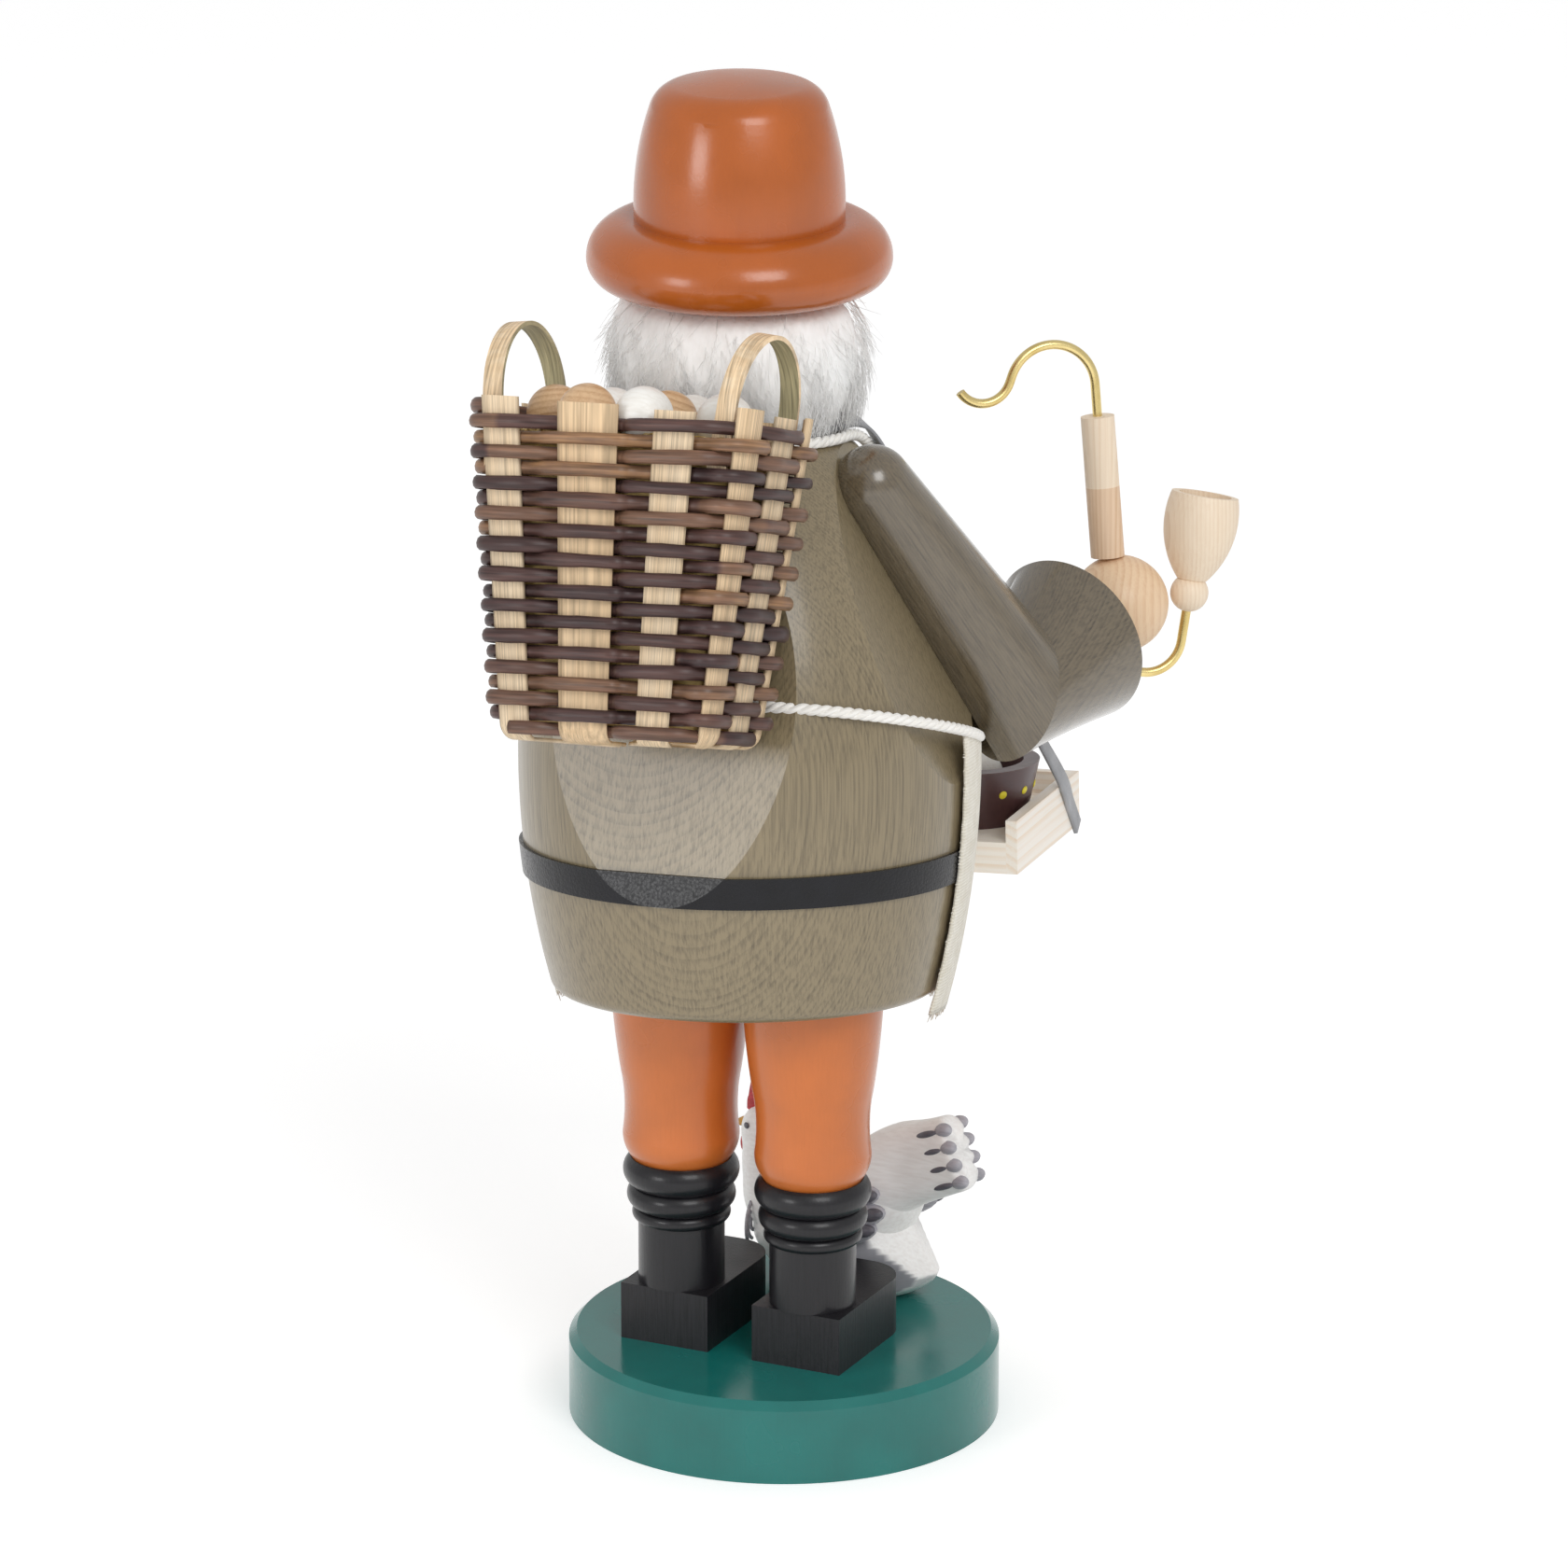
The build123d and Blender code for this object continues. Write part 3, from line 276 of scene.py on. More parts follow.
def painted_wood(name, colour, shade, roughness=0.45, painted_shade=None):
    """Brush paint on carved wood: streaks of the brush that darken the colour a little, and a satin skin. A
    second colour, a painted shade, comes in by the tone of the mesh."""
    made, tree, shader = material(name, {"Coat Weight": 0.1, "Coat Roughness": 0.3})
    place = in_mm(tree)
    brush = add(tree, "Mapping", {"Vector": place, "Rotation": (0.4, 0.5, 0.0),
                                  "Scale": (0.25, 1.6, 1.6)})[0]
    streak = add(tree, "TexNoise", {"Vector": brush, "Scale": 1.0, "Detail": 3.0})[0]
    knife = add(tree, "TexNoise", {"Vector": place, "Scale": 0.22, "Detail": 1.0})[0]
    share = add(tree, "MapRange", {"Value": streak, "From Min": 0.35, "From Max": 0.75})[0]
    colours = add(tree, "MixRGB", {"Fac": share, "Color1": linear(colour), "Color2": linear(shade)})[0]
    # The second colour is a painted shade, mixed in by the tone of the mesh.
    if painted_shade:
        tone = add(tree, "Attribute", {}, attribute_name="tone")["Fac"]
        colours = add(tree, "MixRGB", {"Fac": tone, "Color1": colours, "Color2": linear(painted_shade)})[0]
    height = add(tree, "Math", {0: knife, 1: 5.0, 2: streak}, operation="MULTIPLY_ADD")[0]
    bump = add(tree, "Bump", {"Height": height, "Strength": 0.3, "Distance": 0.08 * mm})[0]
    gloss = add(tree, "MapRange", {"Value": streak, "To Min": roughness - 0.08,
                                   "To Max": roughness + 0.1})[0]
    link(tree, shader, {"Base Color": colours, "Roughness": gloss, "Normal": bump})
    return made


def hen_piece(name, points, paint, tone=None):
    """A painted piece of the hen from points of its own frame."""
    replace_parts(skin(name, on_base(points), paint, "stand", tone=tone), "hen")


# The hen's white paint carries a grey painted shade, laid on by the tone of each piece.
white_paint_and_shade = painted_wood("white_hen_paint_and_shade", "#FAF9F7", "#EEEBE8", 0.45, "#8E8D96")
grey_paint = painted_wood("grey_hen_paint", "#B4B2B9", "#9A98A0")
# Dark paint for the wing tips and eyes, which also gives the painted shade of the tail slits.
dark_paint_and_shade = painted_wood("dark_hen_paint_and_shade", "#6A6870", "#54525A")
red_leather = painted_wood("red_comb_leather", "#C0262F", "#98161D", 0.55)
beak_paint = painted_wood("yellow_beak_paint", "#D9A03C", "#B27C22")

spine = flow(((-17.5, 27.5, 0, 0), (-17, 27.2, 5.0, 4.5), (-11, 21.5, 9.0, 8.6), (-2, 15.5, 11.0, 11.6),
              (7, 14.5, 11.8, 12.0), (14, 17.5, 10.4, 10.4), (17.8, 23.2, 7.6, 7.6), (19.6, 28.0, 5.9, 5.7),
              (20.5, 31.2, 5.4, 5.0), (20.8, 33.8, 4.2, 3.9), (20.9, 35.4, 2.2, 2.0),
              (20.9, 35.9, 0, 0)), 80)
way = unit(np.gradient(spine[:, :2], axis=0))
turn = np.linspace(0, 2 * pi, 73)
tall = spine[:, 2:3] * np.cos(turn)
neck_and_back = np.stack((spine[:, :1] - way[:, 1:] * tall, spine[:, 3:] * np.sin(turn),
                          spine[:, 1:2] + way[:, :1] * tall), -1)
rise = np.linspace(-pi / 2, pi / 2, 61)[:, None]
belly = np.stack((-2 + 24 * np.cos(rise) * np.cos(turn), 14.2 * np.cos(rise) * np.sin(turn),
                  11 + 13.2 * np.sin(rise) + 0 * turn), -1)
# Painted shade: the planed belly facets that face down and back take a share of grey (0.85 and 0.4) for the
# shade on them; the upward facet stays white.
facet_shade_share = np.zeros(belly.shape[:-1])
for cut, reach, grey in (((-0.42, 0.9, -0.12), 12.6, 0.85), ((-0.8, 0.42, -0.43), 17.0, 0.4),
                         ((-0.72, 0.45, 0.53), 21.5, 0.0)):
    for side in (1, -1):
        face = unit(cut) * (1, side, 1)
        facet_shade_share = np.where(belly @ face > reach, grey, facet_shade_share)
        belly = planed(belly, face, reach)

tail_way, tail_up = unit((-0.926, 0, 0.376)), unit((0.376, 0, 0.926))
fan = flow(((-7, 21, 9, 9), (-11, 25.5, 10, 8), (-17, 30.0, 9.3, 6.2), (-24, 33.0, 8.6, 4.8),
            (-29, 35.2, 8.4, 4.2)), 40)
end_row = np.array(((0.6, 0.98), (1.0, 0.9), (1.25, 0.7), (1.35, 0.4), (1.4, 0.0)))
fan_along = np.concatenate((np.zeros(40), end_row[:, 0]))
fan_size = np.concatenate((np.ones(40), end_row[:, 1]))
fan = np.concatenate((fan, np.repeat(fan[-1:], 5, 0)))
high, wide = rounded(turn, 0.7).T
lobes = (1.1 + 1.1 * abs(np.sin(2 * pi * (high + 1)))) * fan_along[:, None]
tail = (np.stack((fan[:, 0], 0 * fan[:, 0], fan[:, 1]), -1)[:, None] + lobes[..., None] * tail_way
        + (fan[:, 2:3] * high * (0.35 + 0.65 * fan_size[:, None]))[..., None] * tail_up
        + (fan[:, 3:] * wide * fan_size[:, None])[..., None] * np.array((0, 1.0, 0)))
tail[-1] = tail[-1].mean(0)
root = np.repeat(tail[:1].mean(1, keepdims=True), 73, 1)
# The tail takes a faint share (0.05) of the same painted shade grey.
for name, shape, tones in (("hen_neck_and_back", neck_and_back, 0.0), ("hen_belly", belly, facet_shade_share),
                           ("hen_tail", np.concatenate((root, tail)), 0.05)):
    shape[..., 2] = np.maximum(shape[..., 2], 0)
    hen_piece(name, shape, white_paint_and_shade, tones)

feather = np.array([(x, side * y, z, long, wide) for side in (1, -1) for x, y, z, long, wide in
                    ((-1.5, 10.2, 17.5, 11.5, 7.2), (-8.5, 10.4, 23.6, 9.0, 2.9),
                     (-10.5, 11.2, 20.0, 9.0, 3.0), (-9.0, 11.6, 16.2, 8.6, 2.9))])
slope = unit(np.stack((np.full(8, 0.93), 0 * feather[:, 0], np.full(8, -0.36)), -1))
lift = np.stack((0 * feather[:, 0], np.sign(feather[:, 1]), 0 * feather[:, 0]), -1)
wing = lens(feather[:, :3], slope * feather[:, 3:4], np.cross(lift, slope) * feather[:, 4:5], lift * 3.4)
hen_piece("hen_wings", wing, grey_paint)
tip = feather[:, :3] - slope * feather[:, 3:4] * 0.72 + lift * 1.7
tips = lens(tip, slope * 3.0, np.cross(lift, slope) * feather[:, 4:5] * 0.5, lift * 1.3)
hen_piece("hen_wing_tips", tips, dark_paint_and_shade)

step = np.repeat(np.array((5.9, 2.0, -2.0, -5.9)), 2)[:, None]
side = np.tile((1.0, -1.0), 4)[:, None] * np.array((0, 1.0, 0))
knob = np.array((-30.4, 0, 35.7)) + step * tail_up + side * (3.5 - 0.08 * abs(step))
knobs = lens(knob, np.tile(tail_way * 2.3, (8, 1)), np.tile(tail_up * 1.55, (8, 1)), side * 1.25)
hen_piece("hen_tail_tips", knobs, grey_paint)
# Painted shade: a dark dome before each knob stands in for the shade in the carved slit along the feather.
slit_shades = lens(knob - tail_way * 4.3 + side * 0.75, np.tile(tail_way * 2.9, (8, 1)),
             np.tile(tail_up * 0.75, (8, 1)), side * 0.6)
hen_piece("hen_tail_slit_shades", slit_shades, dark_paint_and_shade)

arc = np.linspace(-1.1, 1.1, 11)
ring = np.array([(18.6, side * 6.4, 11.8, size) for side in (1, -1) for size in (2.2, 4.0, 5.8)])
bow = np.stack((ring[:, 0:1] - 0.05 * ring[:, 3:] ** 2 * np.cos(arc),
                ring[:, 1:2] + np.sign(ring[:, 1:2]) * ring[:, 3:] * np.cos(arc),
                ring[:, 2:3] + ring[:, 3:] * np.sin(arc)), -1)


def tube(path, radius, up, sides=8, tall=1.0):
    """A rod: a ring of the radius square to each point of the path, stretched towards up; the ends
    close to a point."""
    path = np.asarray(path, float)
    along = unit(np.gradient(path, axis=-2))
    side = unit(np.cross(along, np.broadcast_to(up, path.shape)))
    over = np.cross(side, along)
    turn = np.linspace(0, 2 * pi, sides + 1)[:, None]
    size = np.broadcast_to(radius, path.shape[:-1])[..., None, None]
    rings = path[..., None, :] + size * (np.cos(turn) * side[..., None, :]
                                         + tall * np.sin(turn) * over[..., None, :])
    first, last = (np.repeat(path[..., i, None, None, :], sides + 1, -2) for i in (0, -1))
    return np.concatenate((first, rings, last), -3)


hen_piece("hen_breast_feathers", tube(bow, 0.42, (1.0, 0, 0.01)), grey_paint)

comb_turn = np.linspace(0, pi, 60)
comb_edge = np.stack((20.6 + 4.6 * np.cos(comb_turn), 0 * comb_turn,
                      34.6 + (7.2 + 1.5 * np.cos(9 * comb_turn)) * np.sin(comb_turn) ** 0.7), -1)
comb_root = np.array((20.6, 0, 33.0))
inset = np.array((0.0, 0.0, 0.55, 0.93, 1.0, 0.93, 0.55, 0.0))[:, None, None]
thick = np.array((0.0, 0.9, 0.95, 0.6, 0.0, -0.6, -0.95, -0.9))[:, None, None] * np.array((0, 1.0, 0))
comb = comb_root + inset * (comb_edge - comb_root) + thick
hen_piece("hen_comb", np.concatenate((comb, comb[:1])), red_leather)
wattle = lens(((24.4, 1.4, 27.4), (24.4, -1.4, 27.4)), ((0.5, 0, -2.9),) * 2, ((1.5, 0, 0.3),) * 2,
              ((0, 0.9, 0), (0, -0.9, 0)))
hen_piece("hen_wattles", wattle, red_leather)
beak_path = np.array(((23.0, 0, 31.4), (25.4, 0, 31.2), (27.4, 0, 30.6), (28.6, 0, 29.8)))
hen_piece("hen_beak", tube(flow(beak_path, 12), np.linspace(1.9, 0.25, 12), (0, 1, 0)), beak_paint)
eyes = lens(((22.2, 4.55, 32.2), (22.2, -4.55, 32.2)), ((0.75, -0.2, 0), (0.75, 0.2, 0)),
            ((0, 0, 0.75),) * 2, ((0.1, 0.4, 0), (0.1, -0.4, 0)))
hen_piece("hen_eyes", eyes, dark_paint_and_shade)


# Coat: a barrel turned from one block on a slanted axis, planed flat behind for the basket and at the
# sides for the sleeves, stained olive grey under a satin varnish. The rings of the log run down its
# sides as stripes and open into arches where the barrel closes in.
coat_foot = np.array((2.3, 13.2, 98.6))
coat_up = unit((0.0598186, -0.1145447, 0.9916155))
coat_left = unit(np.cross(coat_up, (sin(radians(8)), -cos(radians(8)), 0)))
coat_axes = np.stack((coat_left, np.cross(coat_up, coat_left), coat_up))


def on_coat(points):
    """Points in mm of the coat's frame, x to the figure's left, y to its back, z up the coat, in m."""
    return (np.asarray(points, float) @ coat_axes + coat_foot) * mm


def log_along(start, end):
    """The pith of a log from one coat point towards another: its place and turn."""
    start, end = Vector(on_coat(start)), Vector(on_coat(end))
    return tuple(start), tuple((end - start).to_track_quat("Z", "Y").to_euler())


coat_log = log_along((3, -60, 0), (3, -60, 100))
dress(grained_wood("stained_coat_wood", "#8B7D61", "#3E3528", coat_log, 0.5, 0.34, 0.25, 0.75, 0.25, 0.4),
      "coat_body")


# Belt: a strip of black leather glued round the coat. Its pressed grain is fine, so it looks smooth and
# satin, with clouds of worn, paler colour.
def leather(name, colour, worn, grain, smooth=0.42, shine=0.5):
    """Leather: cells of a pressed grain with dull creases, and clouds of worn, paler colour."""
    made, tree, shader = material(name, {"Specular IOR Level": shine})
    place = in_mm(tree)
    cells = add(tree, "TexVoronoi", {"Vector": place, "Scale": 1 / grain, "Randomness": 0.9})[0]
    fine = add(tree, "TexNoise", {"Vector": place, "Scale": 3.0, "Detail": 3.0})[0]
    cloud = add(tree, "TexNoise", {"Vector": place, "Scale": 0.15, "Detail": 2.0})[0]
    top = add(tree, "Math", {0: fine, 1: -0.5, 2: cells}, operation="MULTIPLY_ADD")[0]
    rub = add(tree, "MapRange", {"Value": cloud, "From Min": 0.35, "From Max": 0.75, "To Max": 0.8})[0]
    colours = add(tree, "MixRGB", {"Fac": rub, "Color1": linear(colour), "Color2": linear(worn)})[0]
    gloss = add(tree, "MapRange", {"Value": top, "To Min": smooth, "To Max": smooth + 0.24})[0]
    bump = add(tree, "Bump", {"Height": top, "Strength": 0.4, "Distance": -0.12 * mm})[0]
    link(tree, shader, {"Base Color": colours, "Roughness": gloss, "Normal": bump})
    return made


dress(leather("black_belt_leather", "#0C0C10", "#15151B", 0.7, 0.2, 0.32), "belt")


# Arms: two turned pegs for each sleeve, doweled at shoulder and elbow and stained darker than the
# coat, and a bare ball of wood for each hand. The grain runs along each peg.
joints = np.array(((-29.6, 5, 108.5), (-49.1, -29, 61.7), (-55.7, -50, 68.4), (-63.1, -63, 74.4)))
for name, flip in (("right", (1, 1, 1)), ("left", (-1, 1, 1))):
    shoulder, elbow, wrist, hand = joints * flip
    off = np.array((2.5, 3.0, 0)) * flip
    for piece, start, end in (("upper_arm", shoulder, elbow), ("forearm", elbow, wrist)):
        sleeve_log = log_along(start + off * 9, end + off * 9)
        dress(grained_wood(f"stained_{name}_{piece}", "#6E624E", "#2E261B", sleeve_log, 0.6, 0.26, 0.4, 0.8,
                           0.3, 1.0), f"{name}_{piece}")
    hand_log = log_along(hand + off * 3, hand + off * 3 + (0, 0, 9))
    dress(grained_wood(f"bare_{name}_hand", "#EDCFAC", "#D6AA82", hand_log, 1.5, 0.48, 0.5, 0.4, 0.6, 0.15),
          f"{name}_hand")
dress(bare_beech, "shoulder_dowels", "elbow_dowels", "wrist_dowels")


# Pipe: a bent brass wire through two wooden sleeves, hooked at the mouth end, with a turned bead and
# cup at the other. The wood is bare and pale, the brass drawn and bright.
hand = joints[3]
pipe_log = log_along(hand + (6, 5, 0), hand + (6, 5, 40))
dress(metal("brass_wire", "#EAD596", "#C2A55C", 0.26, 4.0), "pipe_wire")
dress(grained_wood("warm_pipe_wood", "#E9CCAE", "#D0A983", pipe_log, 0.9, 0.5, 0.5, 0.5, 0.4),
      "pipe_stem_lower")
dress(grained_wood("pale_pipe_wood", "#F5E3CB", "#E0C4A4", pipe_log, 0.9, 0.5, 0.45, 0.4, 0.4),
      "pipe_stem_upper", "pipe_bowl")


# Basket: flat splints cross under the floor and bend up as stakes; one long line of willow rods,
# pieced from many, winds round them over one and under the next. The number of stakes is odd, so each
# round falls on the other side of the one below.
facet_turn, facet_tilt = radians(4.7), radians(11.5)
facet_out = np.array((sin(facet_turn) * cos(facet_tilt), cos(facet_turn) * cos(facet_tilt), sin(facet_tilt)))
facet_side = np.array((-cos(facet_turn), sin(facet_turn), 0))
facet_up = np.cross(facet_out, facet_side)
basket_foot = facet_out * 52.4 + facet_up * 47.3 - facet_side * 0.7
basket_axes = np.stack((facet_side, -facet_out, facet_up))
basket_height, foot_size, rim_size = 68.0, np.array((50.5, 36.0)), np.array((65.0, 44.0))
corner_power = 0.28
rod_radius, rod_tall, splint_thickness, rod_pitch, rod_rounds = 1.05, 1.4, 0.8, 3.08, 21
rod_swing = rod_radius + splint_thickness / 2 + 0.1
wall_inset = rod_swing + rod_radius - 0.6


def on_basket(points):
    """Points in mm of the basket's frame, x to the figure's right, y to the coat, z up, in metres."""
    return on_coat(np.asarray(points, float) @ basket_axes + basket_foot)


outline_turn = np.linspace(0, 2 * pi, 4001)
outline = rim_size * rounded(outline_turn, corner_power) / 2
outline_run = np.append(0, np.cumsum(np.linalg.norm(np.diff(outline, axis=0), axis=1)))
outline_run /= outline_run[-1]


def wall(run, height, out):
    """A point of the basket's wall: run goes once round its outline, a rounded box that widens with
    the height, and out moves it square to the wall."""
    run, height, out = np.broadcast_arrays(run, height, out)
    turn = np.interp(run % 1, outline_run, outline_turn)
    half = (foot_size + (rim_size - foot_size) * np.clip(height / basket_height, -0.1, 1.2)[..., None]) / 2
    square = unit(rounded(turn, 2 - corner_power) / half)
    place = half * rounded(turn, corner_power) + square * out[..., None]
    return np.stack((place[..., 0], place[..., 1] - half[..., 1], height), -1)


def woven(name, colours, fibre, depth, tone_share, roughness, own=None, inside=None):
    """Split or whole willow: the tone of each piece picks between its colours, and fibres run along
    the piece, read from its own length and width in mm, or from a frame whose y lies across it. Faces
    that look to the middle of the frame take the inside colour."""
    made, tree, shader = material(name, {"Specular IOR Level": 0.4})
    if own:
        along = in_mm(tree, *own)
    else:
        along = add(tree, "UVMap", {}, uv_map="UVMap")[0]
    stretched = add(tree, "Mapping", {"Vector": along, "Scale": (fibre * 0.035, fibre, fibre * 0.035)})[0]
    thread = add(tree, "TexNoise", {"Vector": stretched, "Scale": 1.0, "Detail": 3.0, "Roughness": 0.6})[0]
    patch = add(tree, "Mapping", {"Vector": along, "Scale": (0.12, 0.25, 1.0)})[0]
    bark = add(tree, "TexNoise", {"Vector": patch, "Scale": 1.0, "Detail": 3.0})[0]
    tone = add(tree, "Attribute", {}, attribute_name="tone")["Fac"]
    share = add(tree, "Math", {0: bark, 1: 1.0 - tone_share, 2: 0.0}, operation="MULTIPLY_ADD")[0]
    share = add(tree, "Math", {0: tone, 1: tone_share, 2: share}, operation="MULTIPLY_ADD")[0]
    base = add(tree, "ValToRGB", {"Fac": share})
    ramp = tree.nodes[-1].color_ramp
    for i, (place, code) in enumerate(colours):
        stop = ramp.elements[i] if i < 2 else ramp.elements.new(place)
        stop.position, stop.color = place, linear(code)
    line = add(tree, "MapRange", {"Value": thread, "From Min": 0.3, "From Max": 0.7,
                                   "To Min": 1 - depth, "To Max": 1 + 0.5 * depth})[0]
    colour = base[0]
    if inside:
        square = add(tree, "NewGeometry", {})["Normal"]
        where = add(tree, "TexCoord", {})["Object"]
        offset = add(tree, "VectorMath", {0: where, 1: own[0]}, operation="SUBTRACT")[0]
        outwards = add(tree, "VectorMath", {0: square, 1: offset}, operation="DOT_PRODUCT")["Value"]
        back = add(tree, "MapRange", {"Value": outwards, "From Min": 2 * mm, "From Max": -2 * mm})[0]
        colour = add(tree, "MixRGB", {"Fac": back, "Color1": colour, "Color2": linear(inside)})[0]
    shade = add(tree, "HueSaturation", {"Color": colour, "Value": line})[0]
    bump = add(tree, "Bump", {"Height": thread, "Strength": 0.6, "Distance": 0.2 * mm})[0]
    gloss = add(tree, "MapRange", {"Value": thread, "To Min": roughness - 0.08,
                                   "To Max": roughness + 0.12})[0]
    link(tree, shader, {"Base Color": shade, "Roughness": gloss, "Normal": bump})
    return made


random = np.random.default_rng(7)
stakes = np.array((0.6325, 0.7265, 0.826, 0.922, 1.006, 1.086, 1.168, 1.256, 1.344, 1.434, 1.528))
stake_count = len(stakes)
rod_colours = ((0.12, "#3A2A2C"), (0.95, "#BA8D5C"), (0.4, "#5C413B"), (0.7, "#84634E"))
splint_colours = ((0.1, "#DDBD94"), (0.9, "#F6E2C4"), (0.5, "#EBCFA9"))

rounds = np.linspace(0, rod_rounds, rod_rounds * 150 + 1)
whole = np.floor(rounds)
passes = np.interp(rounds - whole, np.append(stakes - stakes[0], 1.0), np.arange(stake_count + 1))
passes += whole * stake_count
sway = np.tanh(2.2 * np.cos(pi * passes)) / np.tanh(2.2)
wobbles = rod_rounds * 8 + 1
wobble = np.interp(rounds, np.linspace(0, rod_rounds, wobbles), random.normal(0, 0.2, wobbles))
rod_line = wall(rounds + stakes[0], 2.6 + rod_pitch * rounds + wobble, rod_swing * sway - wall_inset)
cuts = np.sort(random.choice(np.arange(40, len(rounds) - 40), 64, replace=False))
rod_tone = (random.random(65) ** 1.3)[np.searchsorted(cuts, np.arange(len(rounds)))]
rod_swell = np.interp(rounds, np.linspace(0, rod_rounds, 90), random.normal(0, 0.7, 90))
rod_knots = np.interp(rounds, np.linspace(0, rod_rounds, 900), random.normal(0, 0.7, 900))
rod_size = rod_radius * (1 + 0.1 * rod_swell + 0.07 * rod_knots)
rod_mesh = tube(rod_line, rod_size, (0, 0, 1.0), 10, rod_tall)
length = np.append(0, np.cumsum(np.linalg.norm(np.diff(rod_line, axis=0), axis=1)))
ends = np.concatenate(([0], np.arange(len(rounds)), [len(rounds) - 1]))
rod_uv = np.stack(np.broadcast_arrays(length[ends][:, None], np.linspace(0, 7.2, 11)), -1)
rod_bark = woven("willow_rods", rod_colours, 1.2, 0.6, 0.66, 0.38)
rods = skin("basket_rods", on_basket(rod_mesh), rod_bark, "coat", uv=rod_uv,
            tone=rod_tone[ends][:, None])

climb = np.concatenate((np.linspace(0, 1, 12), np.linspace(1.08, 2, 7), np.linspace(2.05, 3, 40)))
floor_share = np.clip(climb, 0, 1)
bend = np.clip(climb - 1, 0, 1) * pi / 2
stake_top = basket_height + random.uniform(-0.6, 2.2, stake_count)
stake_width = np.array((8.8, 10.8, 9.0, 10.4, 10.0, 9.6, 9.4, 10.6, 9.2, 10.8, 9.8)) / 2
level = 0.5 + 0.28 * np.arange(stake_count)
corner = 3.0
straight = np.clip(climb - 2, 0, 1) * (stake_top - level - corner)[:, None]
rows_height = level[:, None] + np.where(climb <= 2, corner * (1 - np.cos(bend)), corner + straight)
rows_out = np.where(climb <= 2, corner * (np.sin(bend) - 1), 0) - wall_inset
across = np.linspace(-1, 1, 7)
section = np.concatenate((across, across[::-1], across[:1]))
face = np.concatenate((np.ones(7), -np.ones(7), np.ones(1))) * splint_thickness / 2
perimeter = 2 * (rim_size.sum() - 8)
run = stakes[:, None, None] + section * stake_width[:, None, None] / perimeter
edge = wall(run, rows_height[..., None], rows_out[:, None] + 0 * run)
inward = np.array((0, -foot_size[1] / 2, 0))
reach = (0.08 + 0.92 * floor_share)[None, :, None, None]
flat = inward + reach * (edge * (1, 1, 0) - inward) + edge * (0, 0, 1)
lift_out = unit(np.stack((edge[..., 0], edge[..., 1] - inward[1], 0 * edge[..., 0]), -1))
tilt = np.where(climb <= 2, bend, pi / 2)[None, :, None, None]
normal = np.sin(tilt) * lift_out - np.cos(tilt) * np.array((0, 0, 1.0))
splints = flat + normal * face[None, None, :, None]
first, last = (np.repeat(splints[:, i:i + 1].mean(2, keepdims=True), splints.shape[2], 2) for i in (0, -1))
splints = np.concatenate((first, splints, last), 1)
splint_run = np.concatenate(([0], climb, [3]))[:, None] * 28 + 200 * np.arange(stake_count)[:, None, None]
splint_uv = np.stack(np.broadcast_arrays(splint_run, section * 5), -1)
splint_wood = woven("willow_splints", splint_colours, 2.0, 0.42, 0.45, 0.55)
stakes_piece = skin("basket_stakes", on_basket(splints), splint_wood, "coat", uv=splint_uv,
                    tone=random.random(stake_count)[:, None, None])
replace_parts(rods, "basket_shell")
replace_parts(stakes_piece, "basket_floor", "basket_shell")


# Handles, nails and eggs: a splint bent to an arch over each end of the basket, its feet pushed down
# inside the wall. The eggs are turned balls, some left as bare brown wood and some dipped in white.
handle_axes = np.stack((facet_up, facet_side, np.cross(facet_up, facet_side)), -1).T @ coat_axes
handle_turn = tuple(Matrix(handle_axes.T.tolist()).to_euler())
handle_middle = tuple(on_basket((0, -rim_size[1] / 2, basket_height)))
dress(woven("handle_splint", splint_colours, 2.2, 0.5, 0.0, 0.5, (handle_middle, handle_turn), "#B3AA86"),
      "basket_right_handle", "basket_left_handle")
egg_log = log_along(basket_foot + (9, 0, 0), basket_foot + (9, 30, 9))
dress(grained_wood("brown_egg_wood", "#D9B58C", "#AE8257", egg_log, 1.3, 0.42, 0.7, 0.5, 1.0, 0.15),
      "brown_eggs")
dress(painted_wood("white_egg_paint", "#F8F6F1", "#ECE8E0", 0.38), "white_eggs", "bowl_egg")

wool_top, wool_half, wool_back, wool_front = 61.0, 25.2, -38.5, -5.2
shelf = np.array(((0, 3), (0.9, 3), (0.97, 6), (0.97, 30), (0.97, wool_top - 3), (0.9, wool_top - 0.6),
                  (0.6, wool_top), (0.3, wool_top), (0, wool_top)))
around = np.linspace(0, 1, 73)
heap = wall(around, shelf[:, 1:], -2 * wall_inset - 0.4)
axis = heap * (0, 0, 1) + heap.mean(1, keepdims=True) * (0, 1, 0)
heap = axis + shelf[:, :1, None] * (heap - axis)
straw_colours = ((0.1, "#B99858"), (0.9, "#E5CF96"), (0.5, "#D2B574"))
straw = woven("wood_wool", straw_colours, 2.0, 0.38, 0.8, 0.6)
shelf_run = np.append(0, np.cumsum(np.linalg.norm(np.diff(shelf * (20, 1), axis=0), axis=1)))
heap_uv = np.stack(np.broadcast_arrays(around * 160, shelf_run[:, None]), -1)
wool = skin("wood_wool_heap", on_basket(heap), straw, "coat", uv=heap_uv, tone=0.4)
count = 620
curl = np.linspace(-1, 1, 9)
spot = random.uniform(-1, 1, (count, 2)) * (25, 16.5) + (0, -22.0)
heading, bow_size = random.uniform(0, 2 * pi, count), random.normal(0, 0.5, count)
reach = random.uniform(5, 10, count)
turned_way = heading[:, None] + bow_size[:, None] * curl * 1.6
